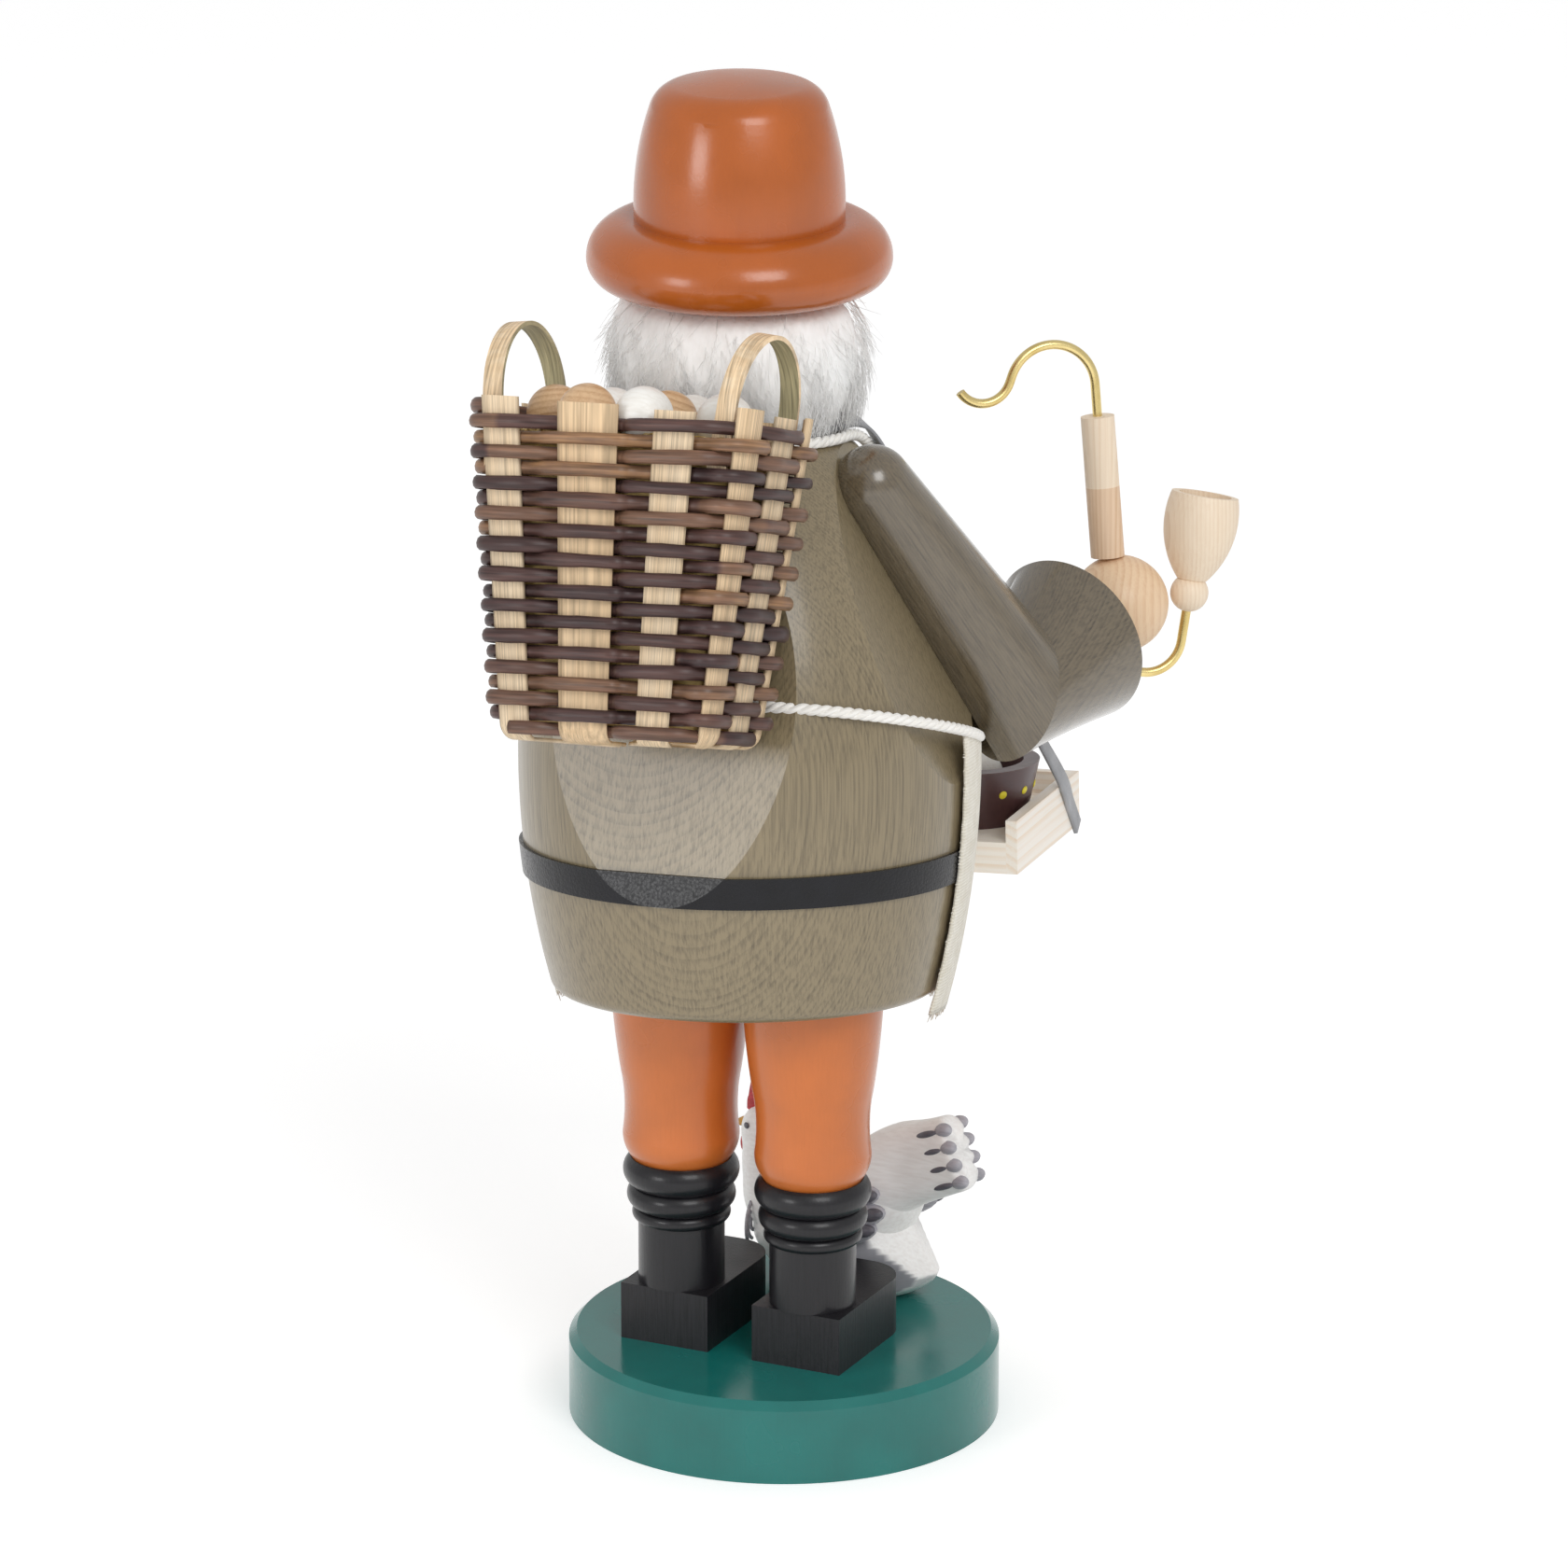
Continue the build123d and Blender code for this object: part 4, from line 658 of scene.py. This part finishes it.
strand = np.stack((np.cumsum(np.cos(turned_way), 1), np.cumsum(np.sin(turned_way), 1), 0 * turned_way), -1)
strand = (strand - strand.mean(1, keepdims=True)) * (reach / 4.5)[:, None, None]
strand[..., :2] += spot[:, None]
strand[..., 0] = np.clip(strand[..., 0], -wool_half, wool_half)
strand[..., 1] = np.clip(strand[..., 1], wool_back, wool_front)
strand[..., 2] = wool_top + random.uniform(0.0, 1.6, count)[:, None]
strand[..., 2] += 0.8 * np.sin(3 * curl + heading[:, None])
shred = tube(strand, 0.34, (0.05, 0.03, 1.0), 3)
shred_uv = np.stack(np.broadcast_arrays(np.arange(11)[:, None] * 1.5, np.arange(4) * 0.7), -1)
shreds = skin("wood_wool_shreds", on_basket(shred), straw, "coat",
              uv=np.broadcast_to(shred_uv, shred.shape[:-1] + (2,)),
              tone=random.random(count)[:, None, None])
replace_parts(wool, "basket_filling")
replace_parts(shreds, "basket_filling")


# Apron: a piece of unbleached canvas, cut with a wide skirt and a narrow bib, folded round the front
# of the coat and held by cords at the waist and neck. Its raw edges fray into short threads.
coat_radius, coat_widest, coat_foot_curve, coat_shoulder_curve = 47.6, 50.0, 182.0, 98.3
apron_out, apron_hem, apron_back, bib_half, bib_top = 1.4, -3.5, 2.8, 24.0, 99.0
apron_radius = coat_radius + apron_out
waist_height, waist_slope = 56.6, radians(14.6)


def coat_side(height):
    """The coat's radius in mm: two arcs that meet at its widest place."""
    curve = np.where(height < coat_widest, coat_foot_curve, coat_shoulder_curve)
    return coat_radius - curve + np.sqrt(curve ** 2 - (height - coat_widest) ** 2)


def cloth(across, up):
    """The apron in mm, wrapped on the coat: across runs along the cloth from the middle of the front,
    up is the height; the skirt swings out in shallow folds towards the hem."""
    radius = coat_side(up) + apron_out
    turn = across / apron_radius
    swing = np.clip((40 - up) / 44, 0, 1) ** 1.5
    radius = radius + swing * (0.35 + 0.35 * np.sin(9 * turn + 0.7) + 0.2 * np.sin(23 * turn))
    return np.stack((radius * np.sin(turn), -radius * np.cos(turn), up), -1)


half = apron_radius * pi / 2 + apron_back
columns = np.concatenate((np.linspace(-half, -bib_half - 1.5, 36), np.linspace(-bib_half, bib_half, 33),
                          np.linspace(bib_half + 1.5, half, 36)))
frayed = random.normal(0, 0.14, len(columns))
low = apron_hem + 0.35 * np.sin(columns * 0.21) + frayed
front = -apron_radius * np.cos(columns / apron_radius)
high = waist_height + front * tan(waist_slope) - 1.0
rise = np.linspace(0, 1, 41)[:, None]
skirt_up = low + rise * (high - low)
skirt = cloth(np.broadcast_to(columns, skirt_up.shape) + 0.12 * np.sin(skirt_up), skirt_up)
bib_columns = columns[36:69]
bib_up = high[36:69] + rise * (bib_top - high[36:69])
bib_taper = 1 - 0.04 * rise ** 2
bib_turn = np.arcsin(bib_columns * bib_taper / (coat_side(bib_up) + apron_out))
bib = cloth(bib_turn * apron_radius, bib_up)

canvas, tree, shader = material("unbleached_canvas", {"Roughness": 0.85, "Sheen Weight": 0.25,
                                                      "Sheen Roughness": 0.5})
place = add(tree, "UVMap", {}, uv_map="UVMap")[0]
weave = {"Vector": place, "Scale": 0.45, "Distortion": 0.6, "Detail": 1.0, "Detail Scale": 2.0}
warp, weft = (add(tree, "TexWave", weave, bands_direction=way)[0] for way in "XY")
threads = add(tree, "Math", {0: warp, 1: weft}, operation="ADD")[0]
slub = add(tree, "TexNoise", {"Vector": place, "Scale": 0.3, "Detail": 4.0})[0]
share = add(tree, "Math", {0: threads, 1: 0.28, 2: slub}, operation="MULTIPLY_ADD")[0]
span = add(tree, "MapRange", {"Value": share, "From Min": 0.4, "From Max": 1.1})[0]
colour = add(tree, "MixRGB", {"Fac": span, "Color1": linear("#DDD5C2"), "Color2": linear("#F8F4E9")})[0]
bump = add(tree, "Bump", {"Height": threads, "Strength": 0.6, "Distance": 0.15 * mm})[0]
link(tree, shader, {"Base Color": colour, "Normal": bump})

panel = skin("apron_skirt", on_coat(skirt), canvas, "coat", sheet=True,
             uv=np.stack((np.broadcast_to(columns, skirt_up.shape), skirt_up), -1))
breast = skin("apron_bib", on_coat(bib), canvas, "coat", sheet=True,
              uv=np.stack((np.broadcast_to(bib_columns, bib_up.shape), bib_up), -1))
for piece in (panel, breast):
    layer = piece.modifiers.new("thickness", "SOLIDIFY")
    layer.thickness, layer.offset = 0.7 * mm, 0.0

thread_count, edge_count = 420, 90
hem_at = random.uniform(-half, half, thread_count)
side_at = random.uniform(0, 1, edge_count)
hem_low = np.interp(hem_at, columns, low)
fringe_t = np.linspace(0, 1, 4)
hem_up = hem_low[:, None] + 0.8 - (0.8 + random.uniform(0.3, 1.7, thread_count)[:, None]) * fringe_t
hem_over = hem_at[:, None] + random.normal(0, 0.5, thread_count)[:, None] * fringe_t ** 2
hem_lift = 0.004 * random.normal(0, 1, thread_count)[:, None, None]
hem_threads = cloth(hem_over, hem_up) * (1 + hem_lift * fringe_t[:, None])
edge_side = np.where(random.random(edge_count) < 0.5, 1.0, -1.0)[:, None]
edge_up = apron_hem + side_at[:, None] * 58 + random.normal(0, 0.4, edge_count)[:, None] * fringe_t
edge_reach = 0.8 + random.uniform(0.2, 1.3, edge_count)[:, None]
edge_over = edge_side * (half - 0.8 + edge_reach * fringe_t)
edge_threads = cloth(edge_over, edge_up)
fringe = tube(np.concatenate((hem_threads, edge_threads)), np.linspace(0.16, 0.09, 4), (0.3, 0.9, 0.2), 3)
fringe_uv = np.zeros(fringe.shape[:-1] + (2,)) + np.arange(len(fringe))[:, None, None, None] * 0.37
frays = skin("apron_frays", on_coat(fringe), canvas, "coat", uv=fringe_uv)
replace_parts(panel, "apron")
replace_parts(breast, "apron")
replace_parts(frays, "apron")


# Cords: soft cotton cord laid from three strands; one runs behind the neck and down over both
# shoulders to the bib, the other round the waist under the basket.
strand_out, strand_radius, lay_length = 0.58, 0.66, 7.0


def laid_cord(name, path, up, made):
    """A cord of three strands that wind round the path, one turn in each 7 mm."""
    path = np.asarray(path, float)
    run = np.append(0, np.cumsum(np.linalg.norm(np.diff(path, axis=0), axis=1)))
    place = np.arange(0, run[-1], 0.45)
    line = np.stack([np.interp(place, run, path[:, i]) for i in range(3)], -1)
    along = unit(np.gradient(line, axis=0))
    side = unit(np.cross(along, up))
    over = np.cross(side, along)
    wind = 2 * pi * (place / lay_length + np.arange(3)[:, None] / 3)
    strands = line + strand_out * (np.cos(wind)[..., None] * side + np.sin(wind)[..., None] * over)
    mesh = tube(strands, strand_radius, up, 8)
    length = np.concatenate(([0], place, place[-1:]))
    uv = np.stack(np.broadcast_arrays(length[None, :, None], np.linspace(0, 4, 9)), -1)
    return skin(name, on_coat(mesh), made, "coat",
                uv=np.broadcast_to(uv, mesh.shape[:-1] + (2,)))


cotton, tree, shader = material("cotton_cord", {"Roughness": 0.9, "Sheen Weight": 0.4,
                                                "Sheen Roughness": 0.5})
place = add(tree, "UVMap", {}, uv_map="UVMap")[0]
twist = add(tree, "Mapping", {"Vector": place, "Rotation": (0, 0, 0.6), "Scale": (0.6, 3.0, 1.0)})[0]
yarn = add(tree, "TexNoise", {"Vector": twist, "Scale": 1.0, "Detail": 3.0})[0]
tint = add(tree, "MapRange", {"Value": yarn, "From Min": 0.3, "From Max": 0.7})[0]
colour = add(tree, "MixRGB", {"Fac": tint, "Color1": linear("#F0ECE3"), "Color2": linear("#FFFEFB")})[0]
bump = add(tree, "Bump", {"Height": yarn, "Strength": 0.7, "Distance": 0.2 * mm})[0]
link(tree, shader, {"Base Color": colour, "Normal": bump})

neck_ring, neck_height, neck_bend, neck_drop = 22.5, 117.5, 30.0, radians(42)
bib_corner = np.array((21.6, -30.6, 97.6))
swing = np.linspace(0, neck_drop, 16)
over_shoulder = np.stack((0 * swing + neck_ring, -neck_bend * np.sin(swing),
                          neck_height - neck_bend * (1 - np.cos(swing))), -1)
chest = over_shoulder[-1] + np.linspace(0.06, 1, 12)[:, None] * (bib_corner - over_shoulder[-1])
left_end = np.concatenate((over_shoulder, chest))
nape = np.linspace(0, pi, 60)[1:-1]
behind = np.stack((neck_ring * np.cos(nape), neck_ring * np.sin(nape), 0 * nape + neck_height), -1)
neck_path = np.concatenate((left_end[::-1], behind, left_end * (-1, 1, 1)))
neck_cord = laid_cord("apron_neck_cord_strands", neck_path, (0.1, 0.05, 1.0), cotton)
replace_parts(neck_cord, "apron_neck_cord")

waist_ring, waist_front, facet_reach, cord_seat, bend_power = 49.05, 12.0, 49.9, 1.25, -14.0
level_x, level_y = np.array((1.0, 0, 0)), np.array((0, cos(waist_slope), sin(waist_slope)))
start = np.arcsin(waist_front / (waist_ring * cos(waist_slope)))
sweep = np.linspace(-start, pi + start, 241)
ways = np.cos(sweep)[:, None] * level_x + np.sin(sweep)[:, None] * level_y
flat_reach = facet_reach + cord_seat - facet_out[2] * waist_height
facing = np.maximum(ways @ facet_out, 0.05)
waist_size = (waist_ring ** bend_power + (flat_reach / facing) ** bend_power) ** (1 / bend_power)
waist_path = waist_size[:, None] * ways + (0, 0, waist_height)
waist_cord = laid_cord("apron_waist_cord_strands", waist_path, (0, -sin(waist_slope), cos(waist_slope)),
                       cotton)
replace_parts(waist_cord, "apron_waist_cord")


# Tray: four thin softwood boards nailed as a box in front of the belly, on two dowels. They are bare,
# with the broad pale and narrow brown rings of spruce.
tray_rise = radians(3.4)
tray_back = np.array((0, -49.5, 17.0))
tray_axes = np.array(((-1.0, 0, 0), (0, -cos(tray_rise), sin(tray_rise)),
                      (0, sin(tray_rise), cos(tray_rise))))


def on_tray(points):
    """Points in mm of the tray's frame, x to the figure's right, y forward, z up, in metres."""
    return on_coat(np.asarray(points, float) @ tray_axes + tray_back)


for name, near, far in (("tray_floor", (0, 9, -34), (40, 9, -34)),
                        ("tray_front_wall", (0, 60, -18), (40, 60, -18)),
                        ("tray_right_wall", (30, 0, -14), (30, 40, -14)),
                        ("tray_left_wall", (-30, 0, -14), (-30, 40, -14))):
    pith = log_along(np.asarray(near) @ tray_axes + tray_back, np.asarray(far) @ tray_axes + tray_back)
    dress(grained_wood(f"spruce_{name}", "#FFF9F0", "#F2DABD", pith, 1.9, 0.55, 0.6, 0.35, 1.0), name)
dress(bare_beech, "tray_dowels")


# Bowl: turned like a small tub and dipped dark brown, with a lighter brown on the flat top of the rim and a
# row of yellow dots put on with a stick.
bowl_place, bowl_height, bowl_top, bowl_low = np.array((28.6, 20.5, 6.8)), 13.0, 14.5, 11.3
bowl_brown, tree, shader = material("bowl_lacquer", {"Coat Weight": 0.3, "Coat Roughness": 0.2})
bowl_turn = tuple(Matrix((tray_axes @ coat_axes).T.tolist()).to_euler())
place = in_mm(tree, tuple(on_tray(bowl_place)), bowl_turn)
height = add(tree, "SeparateXYZ", {"Vector": place})["Z"]
brush = add(tree, "TexNoise", {"Vector": place, "Scale": 0.5, "Detail": 4.0})[0]
brown = add(tree, "MixRGB", {"Fac": brush, "Color1": linear("#3A2226"), "Color2": linear("#50302F")})[0]
# The flat top of the rim takes a lighter brown than the sides.
turned_rim = add(tree, "TexNoise", {"Vector": place, "Scale": 0.9, "Detail": 3.0})[0]
rim_top_brown = add(tree, "MixRGB", {"Fac": turned_rim, "Color1": linear("#5A3A36"),
                                 "Color2": linear("#432829")})[0]
rim = add(tree, "MapRange", {"Value": height, "From Min": bowl_height - 0.35,
                             "From Max": bowl_height - 0.15})[0]
colour = add(tree, "MixRGB", {"Fac": rim, "Color1": brown, "Color2": rim_top_brown})[0]
gloss = add(tree, "MapRange", {"Value": brush, "To Min": 0.3, "To Max": 0.5})[0]
bump = add(tree, "Bump", {"Height": brush, "Strength": 0.15, "Distance": 0.1 * mm})[0]
link(tree, shader, {"Base Color": colour, "Roughness": gloss, "Normal": bump})
dress(bowl_brown, "bowl")

dots = 13
dot_turn = np.arange(dots) * 2 * pi / dots + 0.2
flare = np.arctan2(bowl_top - bowl_low, bowl_height)
dot_out = np.stack((np.cos(dot_turn) * cos(flare), np.sin(dot_turn) * cos(flare),
                    0 * dot_turn - sin(flare)), -1)
dot_side = np.stack((-np.sin(dot_turn), np.cos(dot_turn), 0 * dot_turn), -1)
dot_height = 7.6
dot_radius = bowl_low + (bowl_top - bowl_low) * dot_height / bowl_height
dot_middle = np.stack((dot_radius * np.cos(dot_turn), dot_radius * np.sin(dot_turn),
                       0 * dot_turn + dot_height), -1)
dot_mesh = lens(dot_middle, dot_side * 0.95, np.cross(dot_out, dot_side) * 0.95, dot_out * 0.28)
yellow = painted_wood("yellow_dot_paint", "#EBDD35", "#DCC726")
skin("bowl_dots", on_tray(dot_mesh + bowl_place), yellow, "coat")


# Strap: a thin leather band that carries the tray. It is nailed to the outside of each side wall,
# twists as it rises to the collar and lies round the neck over the cord.
strap_half, strap_thick = 2.0, 0.8
strap_knots = np.array(((-44.9, -93.5, 19.6), (-44.9, -88.0, 25.2), (-44.9, -80.5, 33.0),
                        (-40.3, -66.5, 50.4), (-33.5, -45.5, 76.5), (-27.6, -27.0, 99.0),
                        (-23.9, -14.5, 115.4), (-21.2, -7.6, 119.9), (-18.9, 0.5, 119.8),
                        (-15.6, 10.5, 119.6), (-9.0, 16.4, 119.6), (0, 18.6, 119.6)))
strap_faces = np.array(((-1, 0, 0), (-1, 0, 0), (-1, 0, 0), (-0.9, -0.2, 0.2), (-0.65, -0.5, 0.5),
                        (-0.5, -0.55, 0.65), (-0.6, -0.4, 0.65), (-0.7, -0.2, 0.7), (-0.95, 0.0, 0.3),
                        (-0.85, 0.5, 0.05), (-0.5, 0.85, 0.02), (0, 1, 0.0)))
strap_line = np.concatenate((flow(strap_knots, 100), flow(strap_knots, 100)[-2::-1] * (-1, 1, 1)))
strap_face = unit(np.concatenate((flow(strap_faces, 100), flow(strap_faces, 100)[-2::-1] * (-1, 1, 1))))
along = unit(np.gradient(strap_line, axis=0))
strap_wide = unit(np.cross(along, strap_face))
strap_face = np.cross(strap_wide, along)
section = np.array(((-1, -1), (-0.9, 1), (-0.5, 1), (0, 1), (0.5, 1), (0.9, 1), (1, -1), (0.5, -1),
                    (-0.5, -1), (-1, -1)))
band = (strap_line[:, None] + section[:, :1] * strap_half * strap_wide[:, None]
        + section[:, 1:] * strap_thick / 2 * strap_face[:, None])
first, last = (np.repeat(band[i].mean(0)[None, None], len(section), 1) for i in (0, -1))
strap = skin("tray_strap_band", on_coat(np.concatenate((first, band, last))),
             leather("grey_strap_leather", "#929397", "#B4B5B8", 0.5), "coat")
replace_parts(strap, "tray_strap")


# Head: a turned ball of bare wood with a peg nose, a smoke hole for a mouth, and a plain painted face.
# Eyes, brows and cheeks are thin domes of paint on the ball.
head_middle = np.array((11.224, -2.058, 231.735))
head_turn = radians(8)
head_axes = np.array(((cos(head_turn), sin(head_turn), 0), (-sin(head_turn), cos(head_turn), 0), (0, 0, 1)))
head_radius, brim_under = 21.5, 14.0
mouth_low, mouth_clear, mouth_bare = 8, 9, 3.2


def on_head(points):
    """Points in mm from the middle of the head, x to the figure's left, y to its back, z up, in metres."""
    return (np.asarray(points, float) @ head_axes + head_middle) * mm


def from_head(turn, rise, radius):
    """Points round the head: turn from straight ahead to the figure's left, rise above the middle."""
    turn, rise, radius = np.broadcast_arrays(turn, rise, radius)
    way = np.stack((np.cos(rise) * np.sin(turn), -np.cos(rise) * np.cos(turn), np.sin(rise)), -1)
    return radius[..., None] * way


head_log, nose_log = ((tuple(on_head(pith)), (0, 0, 0)) for pith in ((14, 20, 0), (4, 0, 0)))
dress(grained_wood("bare_face_wood", "#EBC3A0", "#D09C74", head_log, 1.8, 0.5, 0.4, 0.4, 1.5), "head")
dress(grained_wood("bare_nose_wood", "#E3A583", "#C98563", nose_log, 1.4, 0.45, 0.3, 0.4, 0.8), "nose")
eye = from_head(np.array((-0.34, 0.34)), np.array((0.2, 0.2)), head_radius)
eye_out = unit(eye)
eye_side = unit(np.cross((0, 0, 1.0), eye_out))
eye_up = np.cross(eye_out, eye_side)
skin("eyes", on_head(lens(eye, eye_side * 1.35, eye_up * 1.75, eye_out * 0.5)),
     painted_wood("black_eye_paint", "#1B1A1C", "#0E0E10", 0.25), "coat")
# Painted highlight: a small white dome on each eye stands in for the glint of a lamp.
painted_glint = eye + eye_side * 0.45 + eye_up * 0.7 + eye_out * 0.42
skin("eye_painted_glints", on_head(lens(painted_glint, eye_side * 0.38, eye_up * 0.38, eye_out * 0.14)),
     painted_wood("white_painted_glint", "#F4F2EE", "#E6E2DA", 0.3), "coat")
brow_turn = np.linspace(-0.16, 0.16, 12)
brow_middle = np.array((-0.36, 0.36))[:, None]
brows = from_head(brow_middle + brow_turn, 0.42 - 1.6 * brow_turn ** 2, head_radius + 0.1)
brow_size = 0.5 * np.sqrt(1 - (brow_turn / 0.17) ** 2) + 0.08
skin("eyebrows", on_head(tube(brows, brow_size, (0, 0, 1.0), 6)),
     painted_wood("grey_brow_paint", "#B7B2AA", "#99938A"), "coat")
cheek = from_head(np.array((-0.62, 0.62)), np.array((-0.05, -0.05)), head_radius - 0.35)
cheek_out = unit(cheek)
cheek_side = unit(np.cross((0, 0, 1.0), cheek_out))
cheeks = lens(cheek, cheek_side * 3.2, np.cross(cheek_out, cheek_side) * 3.0, cheek_out * 0.62, 9, 28)
skin("cheeks", on_head(cheeks),
     painted_wood("rose_cheek_paint", "#E3A48A", "#D8937A", 0.55), "coat")


# Hair and beard: long white fur on its hide, cut and glued round the head from the brim to the collar.
# Each lock is combed down, so the ball of fur is soft at its edge and strands hang over the strap.
fur_white, tree, shader = material("white_fur", {"Roughness": 0.9, "Sheen Weight": 0.6,
                                                 "Sheen Roughness": 0.6})
where = add(tree, "TexCoord", {})["Object"]
combed = add(tree, "Mapping", {"Vector": where, "Scale": (900, 900, 140)})[0]
lock = add(tree, "TexNoise", {"Vector": combed, "Scale": 1.0, "Detail": 4.0})[0]
share = add(tree, "MapRange", {"Value": lock, "From Min": 0.3, "From Max": 0.6})[0]
colour = add(tree, "MixRGB", {"Fac": share, "Color1": linear("#F6F5F3"), "Color2": linear("#FFFFFE")})[0]
bump = add(tree, "Bump", {"Height": lock, "Strength": 0.25, "Distance": 0.4 * mm})[0]
link(tree, shader, {"Base Color": colour, "Normal": bump})


def fur_reach(turn, rise):
    """How far the fur stands from the middle of the head, in mm: fullest behind and at the sides."""
    face = np.exp(-(turn / 0.62) ** 2) * (1 / (1 + np.exp(-(rise + 0.12) / 0.06)))
    return 27.4 - 1.6 * np.clip(-rise, 0, 1) ** 2 * 4 - 5.5 * face + 0.3 * np.sin(11 * turn + 3 * rise)


def mouth_gap(turn, rise):
    """From 0 at the mouth to 1 away from it: the fur leaves a ring round the smoke hole."""
    across, up = np.cos(rise) * np.sin(turn) * head_radius, np.sin(rise) * head_radius + mouth_low
    near = (across ** 2 + up ** 2 < mouth_clear ** 2) & (np.cos(turn) > 0)
    return np.where(near, np.clip((np.hypot(across, up) - mouth_bare) / 3, 0, 1), 1.0)


def fur(name, node, turns, rises, strands, seed):
    """Fur on a patch of the head: a closed body that swells from its edges and is creased into locks,
    and loose strands that leave the body, turn down along it and thin to their tips. turns gives
    the patch's two edges at a height, rises its lowest and highest place."""
    random = np.random.default_rng(seed)

    def patch(u, v):
        rise = rises[0] + v * (rises[1] - rises[0])
        left, right = turns(rise)
        return left + u * (right - left), rise

    u, v = np.linspace(0, 1, 121), np.linspace(0, 1, 45)[:, None]
    turn, rise = patch(u, v)
    swell = np.sqrt(np.clip(9 * u * (1 - u), 0, 1) * np.clip(9 * v * (1 - v), 0, 1)) * mouth_gap(turn, rise)
    crease = 0.14 * np.sin(46 * turn + 5 * np.sin(6 * rise) + 2 * np.sin(9 * turn))
    crease = crease + 0.08 * np.sin(83 * turn - 7 * rise)
    depth = fur_reach(turn, rise) - 0.6 - head_radius + 0.5
    body = from_head(turn, rise, head_radius - 0.5 + swell * np.maximum(depth + crease, 0.2))
    under = from_head(turn, rise, head_radius - 0.5)
    body[..., 2] = np.minimum(body[..., 2], brim_under)
    under[..., 2] = np.minimum(under[..., 2], brim_under)
    mat = skin(name, on_head(np.concatenate((body, under[::-1]))), fur_white, "coat")

    turn, rise = patch(random.random(strands), np.arcsin(random.uniform(-1, 1, strands)) / pi + 0.5)
    open_way = mouth_gap(turn, rise) > 0.5
    turn, rise = turn[open_way], rise[open_way]
    lean = 0.14 * np.sin(13 * turn + 5 * rise) + random.normal(0, 0.1, len(turn))
    fall = random.uniform(0.22, 0.42, len(turn)) * (1 + 0.3 * np.sin(17 * turn))
    t = np.linspace(0, 1, 5)
    lift = (2.0 + random.gamma(2.0, 0.45, len(turn)))[:, None] * t ** 1.2
    radius = (fur_reach(turn, rise) - 1.6)[:, None] + lift
    path = from_head(turn[:, None] + lean[:, None] * t ** 1.5, rise[:, None] - fall[:, None] * t, radius)
    path[..., 2] = np.minimum(path[..., 2], brim_under + 0.3)
    hair = tube(path, np.array((0.07, 0.07, 0.06, 0.05, 0.02)), (0.21, 0.13, 0.97), 3)
    loose = skin(name + "_strands", on_head(hair), fur_white, "coat")
    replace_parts(mat, node)
    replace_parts(loose, node)


def ear(rise):
    """The turn at which the fur passes the ear, 6 mm before the middle of the head."""
    return np.arccos(np.clip(6 / (head_radius * np.cos(rise)), -1, 1))


fur("hair", "hair_fur", lambda rise: (ear(rise), 2 * pi - ear(rise)), (-0.8, 0.62), 2600, 11)
fur("beard", "beard_fur", lambda rise: (-ear(rise), ear(rise)), (-0.8, -0.12), 1600, 13)


# Hat: a thick rolled brim and a turned crown, pinned on the head. Both are lacquered a warm orange
# brown, glossy enough to mirror the lamp.
dress(lacquer("orange_hat_lacquer", "#B25A19", "#984812", 0.24, 0.1), "hat_brim", "hat_crown")
dress(bare_beech, "hat_dowel")


# Studio: a white floor that keeps the figure's shadow, an even sky of light, a large soft lamp above
# and a soft window behind the camera, which the planed back of the coat mirrors.
floor_half = 6.0
floor_white, tree, shader = material("white_floor", {"Roughness": 0.9, "Base Color": linear("#F2F2F2")})
rays = add(tree, "LightPath", {})
seen = add(tree, "Math", {0: rays["Is Camera Ray"], 1: rays["Is Glossy Ray"]}, operation="MAXIMUM")[0]
seen = add(tree, "Math", {0: seen, 1: rays["Is Transmission Ray"]}, operation="MAXIMUM")[0]
glow = add(tree, "Emission", {"Color": (1, 1, 1, 1), "Strength": 0.36})[0]
bright = add(tree, "AddShader", {0: shader.outputs[0], 1: glow})[0]
through = add(tree, "MixShader", {0: seen, 1: shader.outputs[0], 2: bright})[0]
tree.links.new(through, tree.nodes["Material Output"].inputs["Surface"])
floor_mesh = bpy.data.meshes.new("floor")
corners = np.array(((-1, -1), (1, -1), (1, 1), (-1, 1))) * floor_half
floor_mesh.from_pydata([(x, y, 0.0) for x, y in corners.tolist()], [], [(0, 1, 2, 3)])
floor_mesh.materials.append(floor_white)
floor = bpy.data.objects.new("floor", floor_mesh)
bpy.context.scene.collection.objects.link(floor)

world = bpy.data.worlds.new("studio_sky")
world.use_nodes = True
bpy.context.scene.world = world
world.node_tree.nodes["Background"].inputs["Color"].default_value = (1, 1, 1, 1)
world.node_tree.nodes["Background"].inputs["Strength"].default_value = 0.66

for name, place, size, power in (("key_lamp", (-1.1, 1.0, 1.3), 0.8, 11.0),
                                 ("window_lamp", (0.5, 1.32, 0.48), 0.42, 3.4)):
    lamp = bpy.data.lights.new(name, "AREA")
    lamp.size, lamp.energy = size, power
    stand = bpy.data.objects.new(name, lamp)
    stand.location = place
    stand.rotation_euler = (Vector((0, 0, 0.13)) - Vector(place)).to_track_quat("-Z", "Y").to_euler()
    bpy.context.scene.collection.objects.link(stand)

camera = bpy.data.cameras.new("camera")
camera.lens, camera.sensor_width, camera.clip_end = 214.0, 36.0, 20.0
eye_point = bpy.data.objects.new("camera", camera)
eye_point.location = Vector((-816.296, 1673.655, 738.754)) * mm
sight = Vector((0, 0, 139.507 * mm)) - eye_point.location
eye_point.rotation_euler = sight.to_track_quat("-Z", "Y").to_euler()
bpy.context.scene.collection.objects.link(eye_point)
bpy.context.scene.camera = eye_point
bpy.context.scene.view_settings.view_transform = "Standard"
